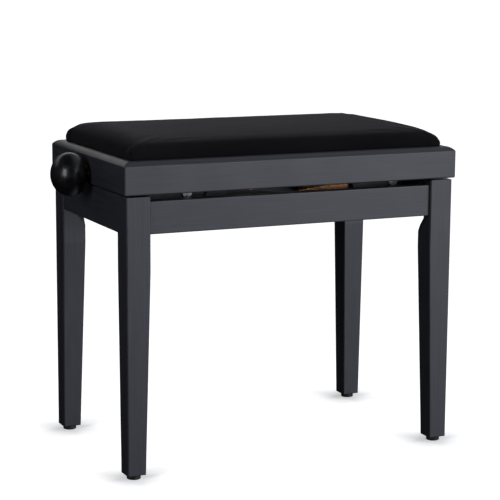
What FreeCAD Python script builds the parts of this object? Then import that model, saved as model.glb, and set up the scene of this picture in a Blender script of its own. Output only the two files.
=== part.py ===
"""Height-adjustable piano bench: wooden leg frame, scissor lift and upholstered seat.

Frame: +Z up, X along the width, Y from front (-) to rear (+). The origin is on the floor,
under the middle of the bench. Millimetres. The seat is drawn at its lowest height.
"""
import FreeCAD, Part
import math
import os

Vec = FreeCAD.Vector

# ---- driving dimensions -------------------------------------------------------------------

SEAT_WIDTH = 510.0            # outside of the seat frame, along X
SEAT_DEPTH = 305.0            # outside of the seat frame, along Y
SEAT_HEIGHT = 470.0           # top of the cushion at the lowest setting
LIFT = 90.0                   # travel from the lowest to the highest setting

# seat frame
RAIL_BOTTOM = 395.0           # underside of the seat frame at the lowest setting
RAIL_FACE_TOP = 433.8         # top of the flat outer face, where the thumb moulding starts
RAIL_TOP = 440.6              # top of the moulding
MOULDING_RUN = 12.5           # moulding, measured inwards
RAIL_LIP = 13.5               # rail thickness beside the cushion
RAIL_THICK = 20.0             # rail thickness below the ledge
LEDGE_Z = 428.0               # ledge that carries the seat board
BOARD_THICK = 9.0
BOARD_GAP = 2.0
CUSHION_GAP = 0.5
CORNER_BLOCK = 32.0           # legs of the triangular glue blocks
CORNER_BLOCK_Z = 400.0

# leg frame
LEG_X = 252.0                 # outer faces of the legs
LEG_Y = 149.5
LEG_TOP_Z = 392.4
LEG_BOTTOM_Z = 7.0
LEG_TOP = 35.0                # square section above the taper
LEG_FOOT = 27.0               # square section at the floor end
TAPER_Z = 290.0               # the two inner faces taper below this height
LEG_EASE = 1.6                # rounding of the vertical edges
CHAMFER = 16.0                # flat on the inner corner that the hanger bolt pulls against
CHAMFER_FULL_Z = 335.0
CHAMFER_END_Z = 312.0
APRON_THICK = 18.0
APRON_BOTTOM_Z = 340.5
FRONT_APRON_TOP_Z = 385.4
FRONT_APRON_INSET = 4.0
SIDE_APRON_INSET = 1.0
APRON_EASE = 1.0
GLIDE_RADIUS = 9.75

# corner brackets and hanger bolts
BRACKET_Z0 = 346.0
BRACKET_Z1 = 384.0
BRACKET_THICK = 2.0
BRACKET_PULL = 4.0            # space between the bracket and the flat on the leg
BRACKET_FLANGE = 18.0
HANGER_Z = 365.0
HANGER_RADIUS = 4.0

# scissor lift
ARM_LENGTH = 330.0            # between end pivots
ARM_WIDTH = 18.0
ARM_THICK = 3.0
PIVOT_X = 189.0               # fixed pivots, at the right-hand end
LOW_PIVOT_Z = 349.0
HIGH_PIVOT_Z = 386.0
ROD_RADIUS = 4.0
RUNNING_FIT = 0.05            # radial clearance of a turning pivot
WEB_Y = 84.0                  # inner face of the rail webs
WEB_THICK = 2.5
ARM_A_Y = 79.5                # inner face of the outer arm
ARM_B_Y = 75.0                # inner face of the inner arm
SLEEVE_RADIUS = 4.75
SLOT_HALF = 5.85              # half height of the slots that the sleeves slide in
SLOT_END_GAP = 3.0
CENTRE_PLAY = 1.1             # radial clearance of the centre rivet in the inner arm
TUBE_RADIUS = 6.0
TUBE_WALL = 1.5
TUBE_ALONG = 76.0             # from the fixed pivot to the cross tube, along the arm
HEAD_RADIUS = 7.0
HEAD_THICK = 2.2

# lower and upper rails of the lift
LOW_RAIL_Z0 = 338.0
LOW_RAIL_Z1 = 364.0
LOW_RAIL_LIP = 5.5
TAB_LENGTH = 20.0
HIGH_RAIL_END = 209.0
HIGH_RAIL_FLANGE = 24.5
HANGER_PLATE_Z = 376.0        # lower edge of the plates that hang from the upper rail
WEB_SHALLOW_Z = 415.0

# spindle, nut and knobs
SPINDLE_Z = 407.6
SPINDLE_RADIUS = 6.0
SPINDLE_END_RADIUS = 5.0
SPINDLE_SHOULDER = 257.5      # where the spindle steps down for the knob
SPINDLE_HALF = 290.0
BUSH_RADIUS = 7.5
BUSH_FLANGE_RADIUS = 10.5
BUSH_FLANGE = 1.5
COLLAR_RADIUS = 11.0
COLLAR_WIDTH = 8.0
NUT_RADIUS = 9.0
NUT_FLANGE_RADIUS = 12.0
YOKE_X = 17.0                 # half length of the yoke along the spindle
YOKE_Y = 13.0
FORK_HALF = 6.6               # half width of the fork that drives the lift shaft
FORK_TOP_PLAY = 3.8
KNOB_RADIUS = 30.8
KNOB_HALF_LENGTH = 26.6       # the ball is slightly flattened along its axis
KNOB_CENTRE_X = 280.0
KNOB_BACK_X = 266.0
KNOB_NECK_RADIUS = 12.0
KNOB_NECK_X = 257.6

CORNERS = {
    "front_left": (-1, -1),
    "front_right": (1, -1),
    "rear_left": (-1, 1),
    "rear_right": (1, 1),
}
SIDES = {"front": -1, "rear": 1}

REST_ANGLE = math.asin((HIGH_PIVOT_Z - LOW_PIVOT_Z) / ARM_LENGTH)
OPEN_ANGLE = math.asin((HIGH_PIVOT_Z - LOW_PIVOT_Z + LIFT) / ARM_LENGTH)
SLIDE_X = PIVOT_X - ARM_LENGTH * math.cos(REST_ANGLE)
SLIDE_OPEN_X = PIVOT_X - ARM_LENGTH * math.cos(OPEN_ANGLE)


# ---- small shape helpers ------------------------------------------------------------------

def box(x0, x1, y0, y1, z0, z1):
    low = Vec(min(x0, x1), min(y0, y1), min(z0, z1))
    return Part.makeBox(abs(x1 - x0), abs(y1 - y0), abs(z1 - z0), low)


def cylinder(start, direction, length, radius):
    return Part.makeCylinder(radius, length, Vec(*start), Vec(*direction))


def y_cylinder(x, z, y0, y1, radius):
    return cylinder((x, min(y0, y1), z), (0, 1, 0), abs(y1 - y0), radius)


def x_cylinder(x0, x1, radius, z=SPINDLE_Z):
    return cylinder((min(x0, x1), 0, z), (1, 0, 0), abs(x1 - x0), radius)


def polygon_face(points):
    return Part.Face(Part.makePolygon([Vec(*p) for p in points] + [Vec(*points[0])]))


def fuse(shapes):
    return shapes[0].multiFuse(shapes[1:]).removeSplitter()


def group(shapes):
    """Identical loose pieces that share one node."""
    return Part.makeCompound(shapes)


def rounded_rectangle(x0, x1, y0, y1, z, radius):
    """Closed wire with four quarter arcs at height z."""
    x0, x1 = min(x0, x1), max(x0, x1)
    y0, y1 = min(y0, y1), max(y0, y1)
    corners = [(x1 - radius, y0 + radius, -90), (x1 - radius, y1 - radius, 0),
               (x0 + radius, y1 - radius, 90), (x0 + radius, y0 + radius, 180)]
    edges = []
    ends = []
    for cx, cy, start in corners:
        points = []
        for turn in (0, 45, 90):
            angle = math.radians(start + turn)
            points.append(Vec(cx + radius * math.cos(angle), cy + radius * math.sin(angle), z))
        edges.append(Part.Arc(*points).toShape())
        ends.append((points[0], points[2]))
    joined = []
    for index, edge in enumerate(edges):
        joined.append(edge)
        joined.append(Part.makeLine(ends[index][1], ends[(index + 1) % 4][0]))
    return Part.Wire(joined)


def eased_bar(x0, x1, y0, y1, z0, z1, radius, axis):
    """Board whose long edges, along axis, are slightly rounded."""
    bar = box(x0, x1, y0, y1, z0, z1)
    long_edges = []
    for edge in bar.Edges:
        along = edge.tangentAt(edge.FirstParameter)
        if abs(along.dot(Vec(*axis))) > 0.99:
            long_edges.append(edge)
    return bar.makeFillet(radius, long_edges)


def screw(point, direction, length, shank_radius=2.0, head_radius=4.0, head_height=2.2):
    """Pan-head wood screw: the head sits on point and the shank runs along direction."""
    start = Vec(*point)
    along = Vec(*direction)
    along.normalize()
    top = start - along * head_height
    head = Part.makeCylinder(head_radius, head_height, top, along)
    head = head.makeFillet(head_height * 0.6, [outer_rim(head, top, head_radius)])
    shank = Part.makeCylinder(shank_radius, length - 2.0, start, along)
    tip = Part.makeCone(shank_radius, 0.4, 2.0, start + along * (length - 2.0), along)
    body = fuse([head, shank, tip])
    return body.cut(cross_recess(top, along, head_radius))


def outer_rim(shape, centre, radius):
    """The circular edge of the given radius about centre."""
    for edge in shape.Edges:
        curve = edge.Curve
        if isinstance(curve, Part.Circle) and abs(curve.Radius - radius) < 1e-6:
            if (curve.Center - centre).Length < 1e-6:
                return edge
    raise RuntimeError("no rim found")


def cross_recess(centre, along, head_radius):
    """Two crossed blades that cut the drive recess of a screw."""
    blade_long = head_radius * 1.1
    blade_wide = head_radius * 0.28
    deep = 1.3
    rotation = FreeCAD.Rotation(Vec(0, 0, 1), along)
    blades = []
    for length, width in ((blade_long, blade_wide), (blade_wide, blade_long)):
        blade = Part.makeBox(length, width, deep + 1.0, Vec(-length / 2, -width / 2, -1.0))
        blades.append(blade.transformGeometry(FreeCAD.Placement(centre, rotation).toMatrix()))
    return fuse(blades)


def headed_rod(x, z, half_length, radius):
    """Rod across the bench with a riveted head on each end."""
    rod = y_cylinder(x, z, -half_length, half_length, radius)
    heads = []
    for side in SIDES.values():
        inner = side * half_length
        heads.append(y_cylinder(x, z, inner, inner + side * HEAD_THICK, HEAD_RADIUS))
    return fuse([rod] + heads)


# ---- leg frame ----------------------------------------------------------------------------

def leg(sx, sy):
    """Square post, tapered on its two inner faces, with a flat on the inner corner."""
    outer_x, outer_y = sx * LEG_X, sy * LEG_Y

    def section(width, z):
        return rounded_rectangle(outer_x, outer_x - sx * width, outer_y, outer_y - sy * width,
                                 z, LEG_EASE)

    taper = Part.makeLoft([section(LEG_FOOT, LEG_BOTTOM_Z), section(LEG_TOP, TAPER_Z)], True, True)
    post = Part.Face(section(LEG_TOP, TAPER_Z)).extrude(Vec(0, 0, LEG_TOP_Z - TAPER_Z))
    body = taper.fuse(post).removeSplitter()
    body = body.cut(corner_flat(sx, sy))
    body = body.cut(hanger_bolt(sx, sy))
    return body.cut(glide(sx, sy))


def corner_flat(sx, sy):
    """What is sawn off the inner corner of a leg; it runs out below the aprons."""
    inner_x, inner_y = sx * (LEG_X - LEG_TOP), sy * (LEG_Y - LEG_TOP)

    def triangle(size, z):
        reach = 5.0
        points = [(inner_x + sx * size + sx * reach, inner_y - sy * reach, z),
                  (inner_x - sx * reach, inner_y + sy * size + sy * reach, z),
                  (inner_x - sx * reach, inner_y - sy * reach, z)]
        return Part.makePolygon([Vec(*p) for p in points] + [Vec(*points[0])])

    middle_z = (CHAMFER_FULL_Z + CHAMFER_END_Z) / 2
    levels = [triangle(0.0, CHAMFER_END_Z), triangle(CHAMFER * 0.4, middle_z),
              triangle(CHAMFER, CHAMFER_FULL_Z), triangle(CHAMFER, LEG_TOP_Z + 1)]
    return Part.makeLoft(levels, True, True)


def glide(sx, sy):
    """Round plastic foot with its nail."""
    centre_x = sx * (LEG_X - LEG_FOOT / 2)
    centre_y = sy * (LEG_Y - LEG_FOOT / 2)
    rim = 5.4
    neck_radius = 7.5
    disc = cylinder((centre_x, centre_y, 0), (0, 0, 1), rim, GLIDE_RADIUS)
    disc = disc.makeFillet(1.2, [outer_rim(disc, Vec(centre_x, centre_y, 0), GLIDE_RADIUS)])
    neck = cylinder((centre_x, centre_y, rim), (0, 0, 1), LEG_BOTTOM_Z - rim, neck_radius)
    nail = cylinder((centre_x, centre_y, rim), (0, 0, 1), 16.0, 1.5)
    return fuse([disc, neck, nail])


def front_apron(side):
    """Front or rear apron, set back from the faces of the legs."""
    face = LEG_Y - FRONT_APRON_INSET
    end = LEG_X - LEG_TOP
    return eased_bar(-end, end, side * face, side * (face - APRON_THICK),
                     APRON_BOTTOM_Z, FRONT_APRON_TOP_Z, APRON_EASE, (1, 0, 0))


def side_apron(side):
    """Left or right apron, as high as the legs."""
    face = LEG_X - SIDE_APRON_INSET
    end = LEG_Y - LEG_TOP
    return eased_bar(side * face, side * (face - APRON_THICK), -end, end,
                     APRON_BOTTOM_Z, LEG_TOP_Z, APRON_EASE, (0, 1, 0))


FRONT_INNER_Y = LEG_Y - FRONT_APRON_INSET - APRON_THICK
SIDE_INNER_X = LEG_X - SIDE_APRON_INSET - APRON_THICK
FLAT_SUM = (LEG_X - LEG_TOP) + (LEG_Y - LEG_TOP) + CHAMFER      # x + y on the flat of a leg
FLAT_DIFFERENCE = (LEG_X - LEG_TOP) - (LEG_Y - LEG_TOP)          # x - y on the bolt's axis
PLATE_SUM = FLAT_SUM - BRACKET_PULL * math.sqrt(2)               # outer face of the bracket


def diagonal_point(total, z=HANGER_Z):
    """Point of the first quadrant on the hanger bolt's axis where x + y is total."""
    return ((total + FLAT_DIFFERENCE) / 2, (total - FLAT_DIFFERENCE) / 2, z)


def diagonal_cylinder(sx, sy, total, length, radius):
    """Cylinder on the hanger bolt's axis, from x + y = total towards the leg."""
    x, y, z = diagonal_point(total)
    return cylinder((sx * x, sy * y, z), (sx, sy, 0), length, radius)


def corner_bracket(sx, sy):
    """Pressed plate across the corner with a flange on each apron."""
    root = math.sqrt(2) * BRACKET_THICK
    outer_x, outer_y = PLATE_SUM - FRONT_INNER_Y, PLATE_SUM - SIDE_INNER_X
    outline = [
        (outer_x, FRONT_INNER_Y), (SIDE_INNER_X, outer_y),
        (SIDE_INNER_X, outer_y - BRACKET_FLANGE),
        (SIDE_INNER_X - BRACKET_THICK, outer_y - BRACKET_FLANGE),
        (SIDE_INNER_X - BRACKET_THICK, outer_y - root + BRACKET_THICK),
        (outer_x - root + BRACKET_THICK, FRONT_INNER_Y - BRACKET_THICK),
        (outer_x - BRACKET_FLANGE, FRONT_INNER_Y - BRACKET_THICK),
        (outer_x - BRACKET_FLANGE, FRONT_INNER_Y),
    ]
    face = polygon_face([(sx * x, sy * y, BRACKET_Z0) for x, y in outline])
    plate = face.extrude(Vec(0, 0, BRACKET_Z1 - BRACKET_Z0))
    clearance = diagonal_cylinder(sx, sy, PLATE_SUM - 10, 20, HANGER_RADIUS + 0.5)
    return plate.cut(fuse([clearance] + bracket_screws(sx, sy)))


def bracket_screws(sx, sy):
    """Four screws of one bracket, two in each apron."""
    screws = []
    reach = BRACKET_FLANGE - 6.0
    front_x = PLATE_SUM - FRONT_INNER_Y - reach
    side_y = PLATE_SUM - SIDE_INNER_X - reach
    for z in (BRACKET_Z0 + 8, BRACKET_Z1 - 8):
        screws.append(screw((sx * front_x, sy * (FRONT_INNER_Y - BRACKET_THICK), z), (0, sy, 0), 14.0))
        screws.append(screw((sx * (SIDE_INNER_X - BRACKET_THICK), sy * side_y, z), (sx, 0, 0), 14.0))
    return screws


WASHER_THICK = 1.6
NUT_THICK = 6.5
INNER_PLATE_SUM = PLATE_SUM - BRACKET_THICK * math.sqrt(2)
WASHER_SUM = INNER_PLATE_SUM - WASHER_THICK * math.sqrt(2)
NUT_SUM = WASHER_SUM - NUT_THICK * math.sqrt(2)


def hanger_bolt(sx, sy):
    """Stud that is screwed into the leg and carries the corner nut."""
    stick_out = 3.0
    start = NUT_SUM - stick_out * math.sqrt(2)
    embedded = 24.0
    length = (FLAT_SUM - start) / math.sqrt(2) + embedded
    return diagonal_cylinder(sx, sy, start, length, HANGER_RADIUS)


def hanger_washer(sx, sy):
    disc = diagonal_cylinder(sx, sy, WASHER_SUM, WASHER_THICK, 8.5)
    return disc.cut(diagonal_cylinder(sx, sy, WASHER_SUM - 5, 20, HANGER_RADIUS + 0.3))


def hanger_nut(sx, sy):
    """Hexagon nut on the hanger bolt."""
    across_corners = 7.5
    points = []
    for step in range(7):
        angle = math.radians(60 * step)
        points.append(Vec(across_corners * math.cos(angle), across_corners * math.sin(angle), 0))
    blank = Part.Face(Part.makePolygon(points)).extrude(Vec(0, 0, NUT_THICK))
    x, y, z = diagonal_point(NUT_SUM)
    placement = FreeCAD.Placement(Vec(sx * x, sy * y, z), FreeCAD.Rotation(Vec(0, 0, 1), Vec(sx, sy, 0)))
    blank = blank.transformGeometry(placement.toMatrix())
    return blank.cut(diagonal_cylinder(sx, sy, NUT_SUM - 5, 20, HANGER_RADIUS))


# ---- seat frame and cushion ---------------------------------------------------------------

def seat_rail(length, offset, turn):
    """Mitred rail with a thumb moulding and an inner ledge, turned about Z into its place.

    The moulding is level at the top and meets the outer face at a crisp edge.
    """
    outer = -offset
    ease = 1.2
    start = Vec(0, outer, RAIL_FACE_TOP)
    end = Vec(0, outer + MOULDING_RUN, RAIL_TOP)
    rise = RAIL_TOP - RAIL_FACE_TOP
    radius = (MOULDING_RUN ** 2 + rise ** 2) / (2 * rise)
    half = math.asin(MOULDING_RUN / radius) / 2
    middle = Vec(0, end.y - radius * math.sin(half), RAIL_TOP - radius * (1 - math.cos(half)))
    moulding = Part.Arc(start, middle, end).toShape()
    points = [
        end,
        Vec(0, outer + RAIL_LIP, RAIL_TOP),
        Vec(0, outer + RAIL_LIP, LEDGE_Z),
        Vec(0, outer + RAIL_THICK, LEDGE_Z),
        Vec(0, outer + RAIL_THICK, RAIL_BOTTOM),
        Vec(0, outer + ease, RAIL_BOTTOM),
        Vec(0, outer, RAIL_BOTTOM + ease),
        start,
    ]
    edges = [moulding] + [Part.makeLine(a, b) for a, b in zip(points, points[1:])]
    profile = Part.Face(Part.Wire(Part.__sortEdges__(edges)))
    profile.translate(Vec(-length / 2, 0, 0))
    bar = profile.extrude(Vec(length, 0, 0))
    inner = length / 2 - RAIL_THICK
    mitre = polygon_face([
        (-length / 2, outer, RAIL_BOTTOM), (length / 2, outer, RAIL_BOTTOM),
        (inner, outer + RAIL_THICK, RAIL_BOTTOM), (-inner, outer + RAIL_THICK, RAIL_BOTTOM)])
    bar = bar.common(mitre.extrude(Vec(0, 0, RAIL_TOP - RAIL_BOTTOM)))
    bar.rotate(Vec(0, 0, 0), Vec(0, 0, 1), turn)
    return bar


def seat_corner_block(sx, sy):
    """Triangular glue block in a corner of the seat frame."""
    inner_x, inner_y = SEAT_WIDTH / 2 - RAIL_THICK, SEAT_DEPTH / 2 - RAIL_THICK
    face = polygon_face([
        (sx * inner_x, sy * inner_y, CORNER_BLOCK_Z),
        (sx * (inner_x - CORNER_BLOCK), sy * inner_y, CORNER_BLOCK_Z),
        (sx * inner_x, sy * (inner_y - CORNER_BLOCK), CORNER_BLOCK_Z)])
    block = face.extrude(Vec(0, 0, LEDGE_Z - CORNER_BLOCK_Z))
    return block.cut(board_screw(sx, sy))


def board_screw(sx, sy):
    """Screw that holds the seat board down, through a corner block."""
    inset = RAIL_THICK + CORNER_BLOCK * 0.3
    x, y = sx * (SEAT_WIDTH / 2 - inset), sy * (SEAT_DEPTH / 2 - inset)
    return screw((x, y, CORNER_BLOCK_Z), (0, 0, 1), LEDGE_Z - CORNER_BLOCK_Z + 8.0)


def seat_board(screws):
    half_x = SEAT_WIDTH / 2 - RAIL_LIP - BOARD_GAP
    half_y = SEAT_DEPTH / 2 - RAIL_LIP - BOARD_GAP
    board = Part.Face(rounded_rectangle(-half_x, half_x, -half_y, half_y, LEDGE_Z, 4.0))
    return board.extrude(Vec(0, 0, BOARD_THICK)).cut(fuse(screws))


def cushion():
    """Crowned pad: upright sides, rolled edges and a shallow dome."""
    half_x = SEAT_WIDTH / 2 - RAIL_LIP - CUSHION_GAP
    half_y = SEAT_DEPTH / 2 - RAIL_LIP - CUSHION_GAP
    base = LEDGE_Z + BOARD_THICK
    levels = [(0.0, base, 8.0), (0.0, SEAT_HEIGHT - 16, 8.0), (6.0, SEAT_HEIGHT - 7.5, 14.0),
              (24.0, SEAT_HEIGHT - 3, 24.0), (60.0, SEAT_HEIGHT, 36.0)]
    wires = []
    for inset, z, radius in levels:
        wires.append(rounded_rectangle(inset - half_x, half_x - inset, inset - half_y, half_y - inset,
                                       z, radius))
    return Part.makeLoft(wires, True, True)


# ---- scissor lift -------------------------------------------------------------------------

def arm_point(along, upper):
    """Centre line of an arm, measured from its fixed pivot; upper arms slope down."""
    if upper:
        return PIVOT_X - along * math.cos(REST_ANGLE), HIGH_PIVOT_Z - along * math.sin(REST_ANGLE)
    return PIVOT_X - along * math.cos(REST_ANGLE), LOW_PIVOT_Z + along * math.sin(REST_ANGLE)


def arm(side, inner_y, upper, hole_radii):
    """Flat bar with round ends; hole_radii are for the fixed pivot, the centre and the far end."""
    y0 = inner_y
    half = ARM_WIDTH / 2
    bar = box(-ARM_LENGTH, 0, y0, y0 + ARM_THICK, -half, half)
    ends = [y_cylinder(0, 0, y0, y0 + ARM_THICK, half),
            y_cylinder(-ARM_LENGTH, 0, y0, y0 + ARM_THICK, half)]
    blank = fuse([bar] + ends)
    for along, radius in zip((0, ARM_LENGTH / 2, ARM_LENGTH), hole_radii):
        blank = blank.cut(y_cylinder(-along, 0, y0 - 1, y0 + ARM_THICK + 1, radius))
    tilt = -math.degrees(REST_ANGLE) if upper else math.degrees(REST_ANGLE)
    blank.rotate(Vec(0, 0, 0), Vec(0, 1, 0), tilt)
    blank.translate(Vec(PIVOT_X, 0, HIGH_PIVOT_Z if upper else LOW_PIVOT_Z))
    if side < 0:
        blank = blank.mirror(Vec(0, 0, 0), Vec(0, 1, 0))
    return blank


def cross_tube(upper, half_length):
    """Tube that is welded between a pair of arms."""
    x, z = arm_point(TUBE_ALONG, upper)
    outer = y_cylinder(x, z, -half_length, half_length, TUBE_RADIUS)
    return outer.cut(y_cylinder(x, z, -half_length - 1, half_length + 1, TUBE_RADIUS - TUBE_WALL))


def ring(side, x, z, near, far, outer_radius, inner_radius):
    """Washer, spacer or sleeve about an axis along Y, from |y| = near to far."""
    body = y_cylinder(x, z, side * near, side * far, outer_radius)
    return body.cut(y_cylinder(x, z, side * (near - 1), side * (far + 1), inner_radius))


def slide_sleeve(side, x, z, near):
    """Flanged nylon sleeve that runs in a slot; the flange starts on the arm."""
    flange_end = WEB_Y - 0.5
    flange = ring(side, x, z, near, flange_end, HEAD_RADIUS, ROD_RADIUS)
    barrel = ring(side, x, z, flange_end, WEB_Y + WEB_THICK + 0.5, SLEEVE_RADIUS, ROD_RADIUS)
    return fuse([flange, barrel])


def slide_rod(z):
    """Rod across the bench whose ends slide in the slots of a pair of rails."""
    return headed_rod(SLIDE_X, z, WEB_Y + WEB_THICK + 0.5, ROD_RADIUS)


def centre_rivet(side):
    """Rivet through the crossing point; its inner head clears the inner arm."""
    x, z = arm_point(ARM_LENGTH / 2, False)
    outer_face = ARM_A_Y + ARM_THICK
    head_gap = 0.4
    inner_end = ARM_B_Y - head_gap
    shank = y_cylinder(x, z, side * inner_end, side * outer_face, ROD_RADIUS)
    inner_head = y_cylinder(x, z, side * (inner_end - 2.0), side * inner_end, HEAD_RADIUS)
    outer_head = y_cylinder(x, z, side * outer_face, side * (outer_face + 1.1), HEAD_RADIUS)
    return fuse([shank, inner_head, outer_head])


def slot(z, y0, y1):
    """Slot that a sleeve slides in, over the whole travel of the lift."""
    reach = SLEEVE_RADIUS + SLOT_END_GAP - SLOT_HALF
    left, right = SLIDE_X - reach, SLIDE_OPEN_X + reach
    return fuse([
        box(left, right, y0, y1, z - SLOT_HALF, z + SLOT_HALF),
        y_cylinder(left, z, y0, y1, SLOT_HALF),
        y_cylinder(right, z, y0, y1, SLOT_HALF),
    ])


def lower_rail(side):
    """Slotted rail between the side aprons, with a lip and an inward tab at each end."""
    near, far = WEB_Y, WEB_Y + WEB_THICK
    end = SIDE_INNER_X
    web = box(-end, end, side * near, side * far, LOW_RAIL_Z0, LOW_RAIL_Z1)
    lip_end = end - 8.0
    lip = box(-lip_end, lip_end, side * far, side * (far + LOW_RAIL_LIP),
              LOW_RAIL_Z0, LOW_RAIL_Z0 + WEB_THICK)
    tabs = []
    for sx in (-1, 1):
        tabs.append(box(sx * (end - WEB_THICK), sx * end, side * near, side * (near - TAB_LENGTH),
                        LOW_RAIL_Z0, LOW_RAIL_Z1))
    rail = fuse([web, lip] + tabs)
    cutters = [slot(LOW_PIVOT_Z, side * (near - 1), side * (far + 1)),
               y_cylinder(PIVOT_X, LOW_PIVOT_Z, side * (near - 1), side * (far + 1), ROD_RADIUS)]
    return rail.cut(fuse(cutters)).cut(fuse(lower_rail_screws(side)))


def lower_rail_screws(side):
    """Two screws in each end tab of a lower rail."""
    screws = []
    middle_z = (LOW_RAIL_Z0 + LOW_RAIL_Z1) / 2
    for sx in (-1, 1):
        for reach in (6.0, 14.0):
            z = middle_z + (4.0 if reach > 10 else -4.0)
            point = (sx * (SIDE_INNER_X - WEB_THICK), side * (WEB_Y - reach), z)
            screws.append(screw(point, (sx, 0, 0), 14.0))
    return screws


def upper_rail(side):
    """Angle under the seat board with a slotted plate and a pivot plate hanging from it."""
    near, far = WEB_Y, WEB_Y + WEB_THICK
    half = HIGH_RAIL_END
    shoulder = 4.0
    slide_right = SLIDE_OPEN_X + 36.0
    pivot_left, pivot_right = 124.0, PIVOT_X + 14.0
    outline = [
        (-half, LEDGE_Z), (half, LEDGE_Z), (half, WEB_SHALLOW_Z),
        (pivot_right + shoulder, WEB_SHALLOW_Z), (pivot_right, HANGER_PLATE_Z),
        (pivot_left, HANGER_PLATE_Z), (pivot_left - shoulder, WEB_SHALLOW_Z),
        (slide_right + shoulder, WEB_SHALLOW_Z), (slide_right, HANGER_PLATE_Z),
        (-half, HANGER_PLATE_Z),
    ]
    face = polygon_face([(x, side * near, z) for x, z in outline])
    web = face.extrude(Vec(0, side * WEB_THICK, 0))
    flange = box(-half, half, side * near, side * (far - HIGH_RAIL_FLANGE),
                 LEDGE_Z - WEB_THICK, LEDGE_Z)
    rail = fuse([web, flange])
    cutters = [slot(HIGH_PIVOT_Z, side * (near - 1), side * (far + 1)),
               y_cylinder(PIVOT_X, HIGH_PIVOT_Z, side * (near - 1), side * (far + 1), ROD_RADIUS)]
    return rail.cut(fuse(cutters)).cut(fuse(upper_rail_screws(side)))


def upper_rail_screws(side):
    """Four screws that hold an upper rail under the seat board."""
    screws = []
    y = side * (WEB_Y - 10.0)
    for x in (-190.0, -60.0, 60.0, 190.0):
        screws.append(screw((x, y, LEDGE_Z - WEB_THICK), (0, 0, 1), WEB_THICK + 7.5))
    return screws


# ---- spindle, nut and knobs ---------------------------------------------------------------

def lift_spindle():
    core = x_cylinder(-SPINDLE_SHOULDER, SPINDLE_SHOULDER, SPINDLE_RADIUS)
    ends = x_cylinder(-SPINDLE_HALF, SPINDLE_HALF, SPINDLE_END_RADIUS)
    return fuse([core, ends])


def spindle_bush(side):
    """Flanged bush in a side rail of the seat."""
    outer = side * SEAT_WIDTH / 2
    body = x_cylinder(outer, outer - side * RAIL_THICK, BUSH_RADIUS)
    flange = x_cylinder(outer, outer + side * BUSH_FLANGE, BUSH_FLANGE_RADIUS)
    return fuse([body, flange]).cut(x_cylinder(-300, 300, SPINDLE_RADIUS + RUNNING_FIT))


def spindle_collar(side):
    """Ring that keeps the spindle from moving endways."""
    face = SEAT_WIDTH / 2 - RAIL_THICK - 0.5
    body = x_cylinder(side * face, side * (face - COLLAR_WIDTH), COLLAR_RADIUS)
    body = body.cut(x_cylinder(-300, 300, SPINDLE_RADIUS))
    return body.cut(collar_screw(side))


def collar_screw(side):
    """Socket set screw of a collar."""
    x = side * (SEAT_WIDTH / 2 - RAIL_THICK - 0.5 - COLLAR_WIDTH / 2)
    pin = cylinder((x, 0, SPINDLE_Z - COLLAR_RADIUS + 0.4), (0, 0, 1),
                   COLLAR_RADIUS - SPINDLE_RADIUS - 0.4, 2.0)
    return pin.cut(cylinder((x, 0, SPINDLE_Z - COLLAR_RADIUS), (0, 0, 1), 2.0, 1.0))


def knob(side):
    """Slightly flattened ball with a neck, bored for the spindle end."""
    back_offset = KNOB_CENTRE_X - KNOB_BACK_X
    back_radius = KNOB_RADIUS * math.sqrt(1 - (back_offset / KNOB_HALF_LENGTH) ** 2)
    centre = Vec(KNOB_CENTRE_X, 0, 0)
    ellipse = Part.Ellipse(centre + Vec(0, 0, KNOB_RADIUS), centre - Vec(KNOB_HALF_LENGTH, 0, 0), centre)
    back_parameter = math.acos(back_radius / KNOB_RADIUS)
    front = Part.ArcOfEllipse(ellipse, -math.pi / 2, back_parameter).toShape()
    back = Vec(KNOB_BACK_X, 0, back_radius)
    tip = Vec(KNOB_CENTRE_X + KNOB_HALF_LENGTH, 0, 0)
    relief = 1.5
    outline = [
        back,
        Vec(KNOB_BACK_X - relief, 0, back_radius - 2.5),
        Vec(KNOB_BACK_X - relief, 0, KNOB_NECK_RADIUS + 2.0),
        Vec(KNOB_BACK_X - relief - 2.0, 0, KNOB_NECK_RADIUS),
        Vec(KNOB_NECK_X, 0, KNOB_NECK_RADIUS),
        Vec(KNOB_NECK_X, 0, 0),
        tip,
    ]
    edges = [front] + [Part.makeLine(a, b) for a, b in zip(outline, outline[1:])]
    face = Part.Face(Part.Wire(Part.__sortEdges__(edges)))
    ball = face.revolve(Vec(0, 0, 0), Vec(1, 0, 0), 360)
    ball.translate(Vec(0, 0, SPINDLE_Z))
    if side < 0:
        ball = ball.mirror(Vec(0, 0, 0), Vec(1, 0, 0))
    ball = ball.cut(x_cylinder(-SPINDLE_HALF, SPINDLE_HALF, SPINDLE_END_RADIUS))
    return ball.cut(knob_screw(side))


def knob_screw(side):
    """Socket set screw through the neck of a knob."""
    x = side * (KNOB_NECK_X + 3.0)
    start = SPINDLE_Z - KNOB_NECK_RADIUS + 0.3
    pin = cylinder((x, 0, start), (0, 0, 1), KNOB_NECK_RADIUS - SPINDLE_END_RADIUS - 0.3, 2.0)
    return pin.cut(cylinder((x, 0, start - 1), (0, 0, 1), 3.0, 1.0))


def lead_nut():
    """Flanged nut that travels along the spindle."""
    left, right = SLIDE_X - YOKE_X, SLIDE_X + YOKE_X
    body = x_cylinder(left, right, NUT_RADIUS)
    flange = x_cylinder(left - 3.0, left, NUT_FLANGE_RADIUS)
    return fuse([body, flange]).cut(x_cylinder(-300, 300, SPINDLE_RADIUS + RUNNING_FIT))


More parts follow.
